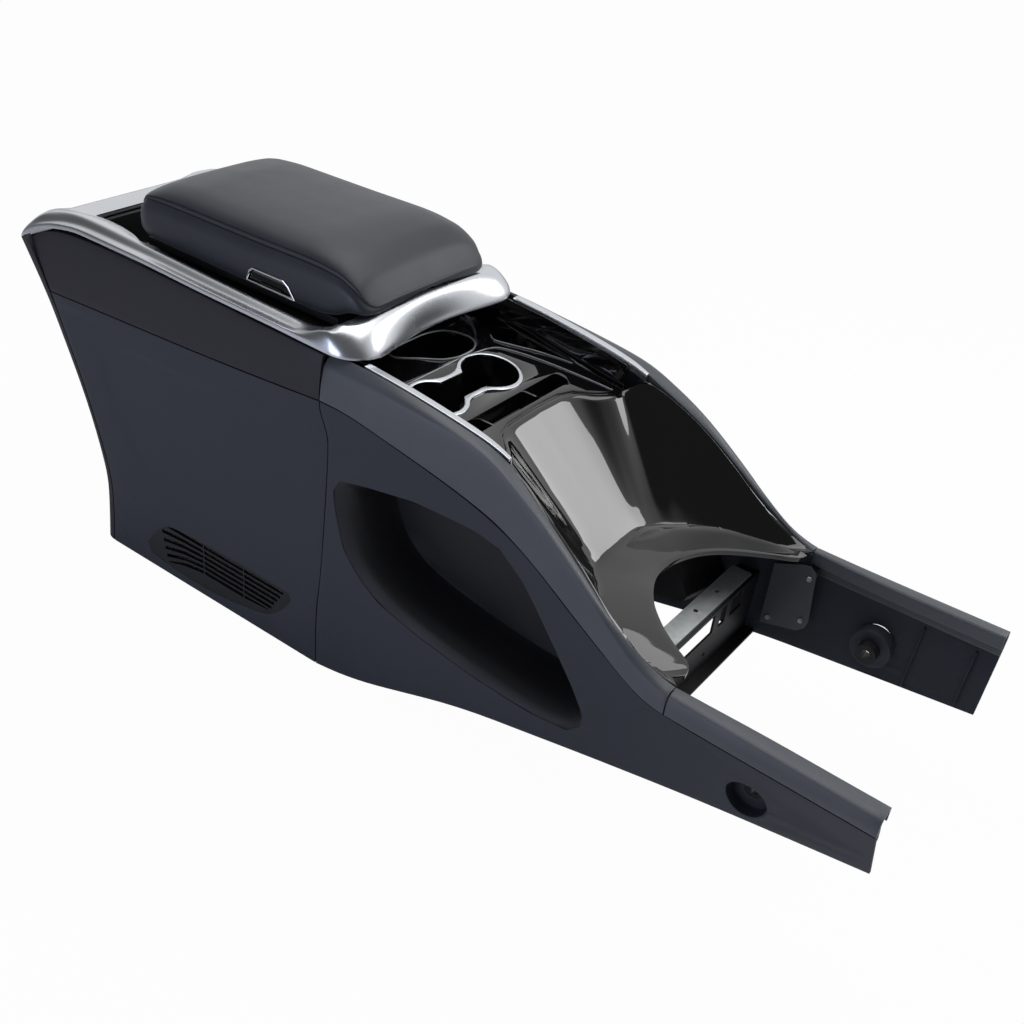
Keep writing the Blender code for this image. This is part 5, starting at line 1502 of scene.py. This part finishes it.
@dataclass
class Studio:
    """Plain pale floor, soft lights, white backdrop and the camera.

    Attributes:
        azimuth: Camera bearing in degrees, from -Y towards +X.
        elevation: Camera height angle in degrees.
        roll: Turn of the picture in degrees.
        place: Where the camera stands, in metres.
        lens: Focal length in millimetres on a 36 mm sensor.
        white: Share by which the camera sees the floor as plain white, over its shadow.
        foot_x: Middle of the footprint along X, in metres.
        foot: Half length and half width of the footprint, in metres.
        foot_rim: Width over which the footprint ends, along X and Y, in metres.
    """

    azimuth: float = 32.8628
    elevation: float = 33.1649
    roll: float = 6.6039
    place: Point = (0.78985243 + JOINT_X, -0.9827114, 0.98175134)
    lens: float = 43.79
    white: float = 0.97
    foot_x: float = JOINT_X - 0.160
    foot: tuple[float, float] = (0.175, 0.134)
    foot_rim: tuple[float, float] = (0.020, 0.012)

    def camera(self) -> None:
        """Sets up the camera at the viewing angle."""
        az, el, roll = (math.radians(a) for a in (self.azimuth, self.elevation, self.roll))
        back = Vector((math.sin(az) * math.cos(el), -math.cos(az) * math.cos(el), math.sin(el)))
        right = Vector((0.0, 0.0, 1.0)).cross(back).normalized()
        up = back.cross(right)
        across = math.cos(roll) * right + math.sin(roll) * up
        upright = -math.sin(roll) * right + math.cos(roll) * up
        turn = Matrix((across, upright, back)).transposed()
        bpy.ops.object.camera_add(location=self.place, rotation=turn.to_euler())
        camera = bpy.context.active_object
        camera.data.lens = self.lens
        camera.data.sensor_width = 36.0
        camera.data.sensor_fit = "AUTO"
        camera.data.clip_start = 0.01
        bpy.context.scene.camera = camera

    def world(self) -> None:
        """Lights the room evenly and shows it white to the camera and in glass."""
        world = bpy.data.worlds.new("studio")
        bpy.context.scene.world = world
        world.use_nodes = True
        tree = world.node_tree
        tree.nodes.clear()
        path = add_node(tree, "LightPath")
        toward = add_node(tree, "TexCoord")
        parts = add_node(tree, "SeparateXYZ", {}, {0: toward.outputs["Generated"]})
        wall = add_node(tree, "MapRange", {"From Min": -0.35, "From Max": 0.55, "To Min": 0.10,
                                           "To Max": 0.85, "interpolation_type": "SMOOTHSTEP"},
                        {"Value": parts.outputs["Y"]})
        soft = add_node(tree, "Background", {"Color": linear("#f4f6ff"), "Strength": 0.27})
        seen = add_node(tree, "Background", {"Color": (1.0, 1.0, 1.0, 1.0), "Strength": 1.0})
        mirrored = add_node(tree, "Background", {"Color": (1.0, 1.0, 1.0, 1.0)},
                            {"Strength": wall.outputs["Result"]})
        glossy = add_node(tree, "MixShader", {}, {0: path.outputs["Is Glossy Ray"],
                                                  1: soft.outputs[0], 2: mirrored.outputs[0]})
        direct = add_node(tree, "Math", {"operation": "MAXIMUM"},
                          {0: path.outputs["Is Camera Ray"],
                           1: path.outputs["Is Transmission Ray"]})
        final = add_node(tree, "MixShader", {}, {0: direct.outputs[0], 1: glossy.outputs[0],
                                                 2: seen.outputs[0]})
        add_node(tree, "OutputWorld", {}, {0: final.outputs[0]})

    def floor(self) -> None:
        """Lays the floor, white to the camera but for the soft shadow and the footprint."""
        bpy.ops.mesh.primitive_plane_add(size=14.0, location=(0.0, 0.0, CAD_BOX[0][2]))
        floor = bpy.context.active_object
        floor.name = "studio_floor"
        settle(floor)
        made = bpy.data.materials.new("matt white studio paper")
        made.use_nodes = True
        tree = made.node_tree
        shader = tree.nodes["Principled BSDF"]
        shader.inputs["Base Color"].default_value = linear("#eeeeee")
        shader.inputs["Roughness"].default_value = 0.9
        shader.inputs["Specular IOR Level"].default_value = 0.1
        path = add_node(tree, "LightPath")
        where = add_node(tree, "TexCoord")
        parts = add_node(tree, "SeparateXYZ", {}, {0: where.outputs["Object"]})
        along = add_node(tree, "Math", {"operation": "SUBTRACT", 1: self.foot_x},
                         {0: parts.outputs["X"]})
        edges = []
        for side, reach, rim in zip((along.outputs[0], parts.outputs["Y"]), self.foot,
                                    self.foot_rim):
            away = add_node(tree, "Math", {"operation": "ABSOLUTE"}, {0: side})
            edges.append(add_node(tree, "MapRange", {"From Min": reach, "From Max": reach + rim},
                                  {"Value": away.outputs[0]}))
        outside = add_node(tree, "Math", {"operation": "MAXIMUM"},
                           {0: edges[0].outputs["Result"], 1: edges[1].outputs["Result"]})
        lit = add_node(tree, "Math", {"operation": "MULTIPLY", 1: self.white},
                       {0: path.outputs["Is Camera Ray"]})
        share = add_node(tree, "Math", {"operation": "MULTIPLY"},
                         {0: lit.outputs[0], 1: outside.outputs[0]})
        glow = add_node(tree, "Emission", {"Color": (1.0, 1.0, 1.0, 1.0), "Strength": 1.0})
        paper = add_node(tree, "MixShader", {}, {0: share.outputs[0], 1: shader.outputs[0],
                                                 2: glow.outputs[0]})
        tree.links.new(paper.outputs[0], tree.nodes["Material Output"].inputs["Surface"])
        floor.data.materials.append(made)

    def build(self) -> None:
        """Sets up the whole studio."""
        self.camera()
        for softbox in SOFTBOXES:
            softbox.hang()
        self.world()
        self.floor()
        bpy.context.scene.view_settings.view_transform = "Standard"


# The finish of every node of the CAD, also of those that a smoother piece stands for.
NODES = {
    Finishes.PANEL: both("side_panel_front", "side_panel_rear"),
    Finishes.INNER: (*both("pocket_liner", "vent_grille", "arm_bushing"), "lid_base",
                     "storage_bin", "rear_pocket", "bulkhead_rear", "bulkhead_mid",
                     "carrier_frame"),
    # The mount plates' grey colour is a painted sheen on a black coating.
    Finishes.PLATE: both("mount_plate"),
    Finishes.STRIP: (*both("side_strip"), "rear_cover"),
    Finishes.RAIL: both("side_rail", "arm_rail"),
    Finishes.SATIN: ("trim_frame", *both("trim_strip"), "cup_ring"),
    Finishes.GLOSS: ("deck", "cup_insert", "ramp", "latch_lever"),
    Finishes.LEATHER: ("armrest_pad",),
    Finishes.CHROME: ("latch_bezel",),
    Finishes.ZINC: ("cross_bracket",),
    Finishes.SCREW: ("hinge_pin_rear", "hinge_pin_front", "latch_pin",
                     *(f"{stem}_{i}" for stem in both("plate_screw") for i in (1, 2, 3))),
}
FINISH_OF = {node: finish for finish, nodes in NODES.items() for node in nodes}

# Mouldings with crisp edges, and the body that each moves with.
CRISP = {"deck": "console", "cup_insert": "console", "latch_bezel": "lid"}
# Mouldings of the console with full, rounded faces.
FULL = (*both("side_rail", "side_panel_front", "side_panel_rear", "arm_rail", "side_strip"),
        "rear_cover", "cup_ring", *both("trim_strip"))


def main() -> None:
    """Builds the studio and every piece, and reports each one."""
    logging.basicConfig(level=logging.INFO, format="%(name)s: %(message)s")
    Studio().build()
    LOG.info("studio ready")
    for node, finish in FINISH_OF.items():
        dress(frame["nodes"][node], finish)
    pieces = [SatinFrame(FrameSizes()).build(), *Armrest(PadSizes(), SeamSizes()).build(),
              Ramp(RampSizes()).build()]
    pieces += [rim.build() for rim in RIMS]
    crisp = Smoothing(levels=0, edge=0.0007, quads=0.0)
    pieces += [moulding(node, body, FINISH_OF[node], crisp) for node, body in CRISP.items()]
    pieces += [moulding(node, "console", FINISH_OF[node], Smoothing()) for node in FULL]
    for node in both("pocket_liner"):
        liner = moulding(node, "console", FINISH_OF[node], Smoothing())
        widen_rim(liner)
        pieces.append(liner)
    for piece in pieces:
        LOG.info("made %s", piece.name)


if __name__ == "__main__":
    main()
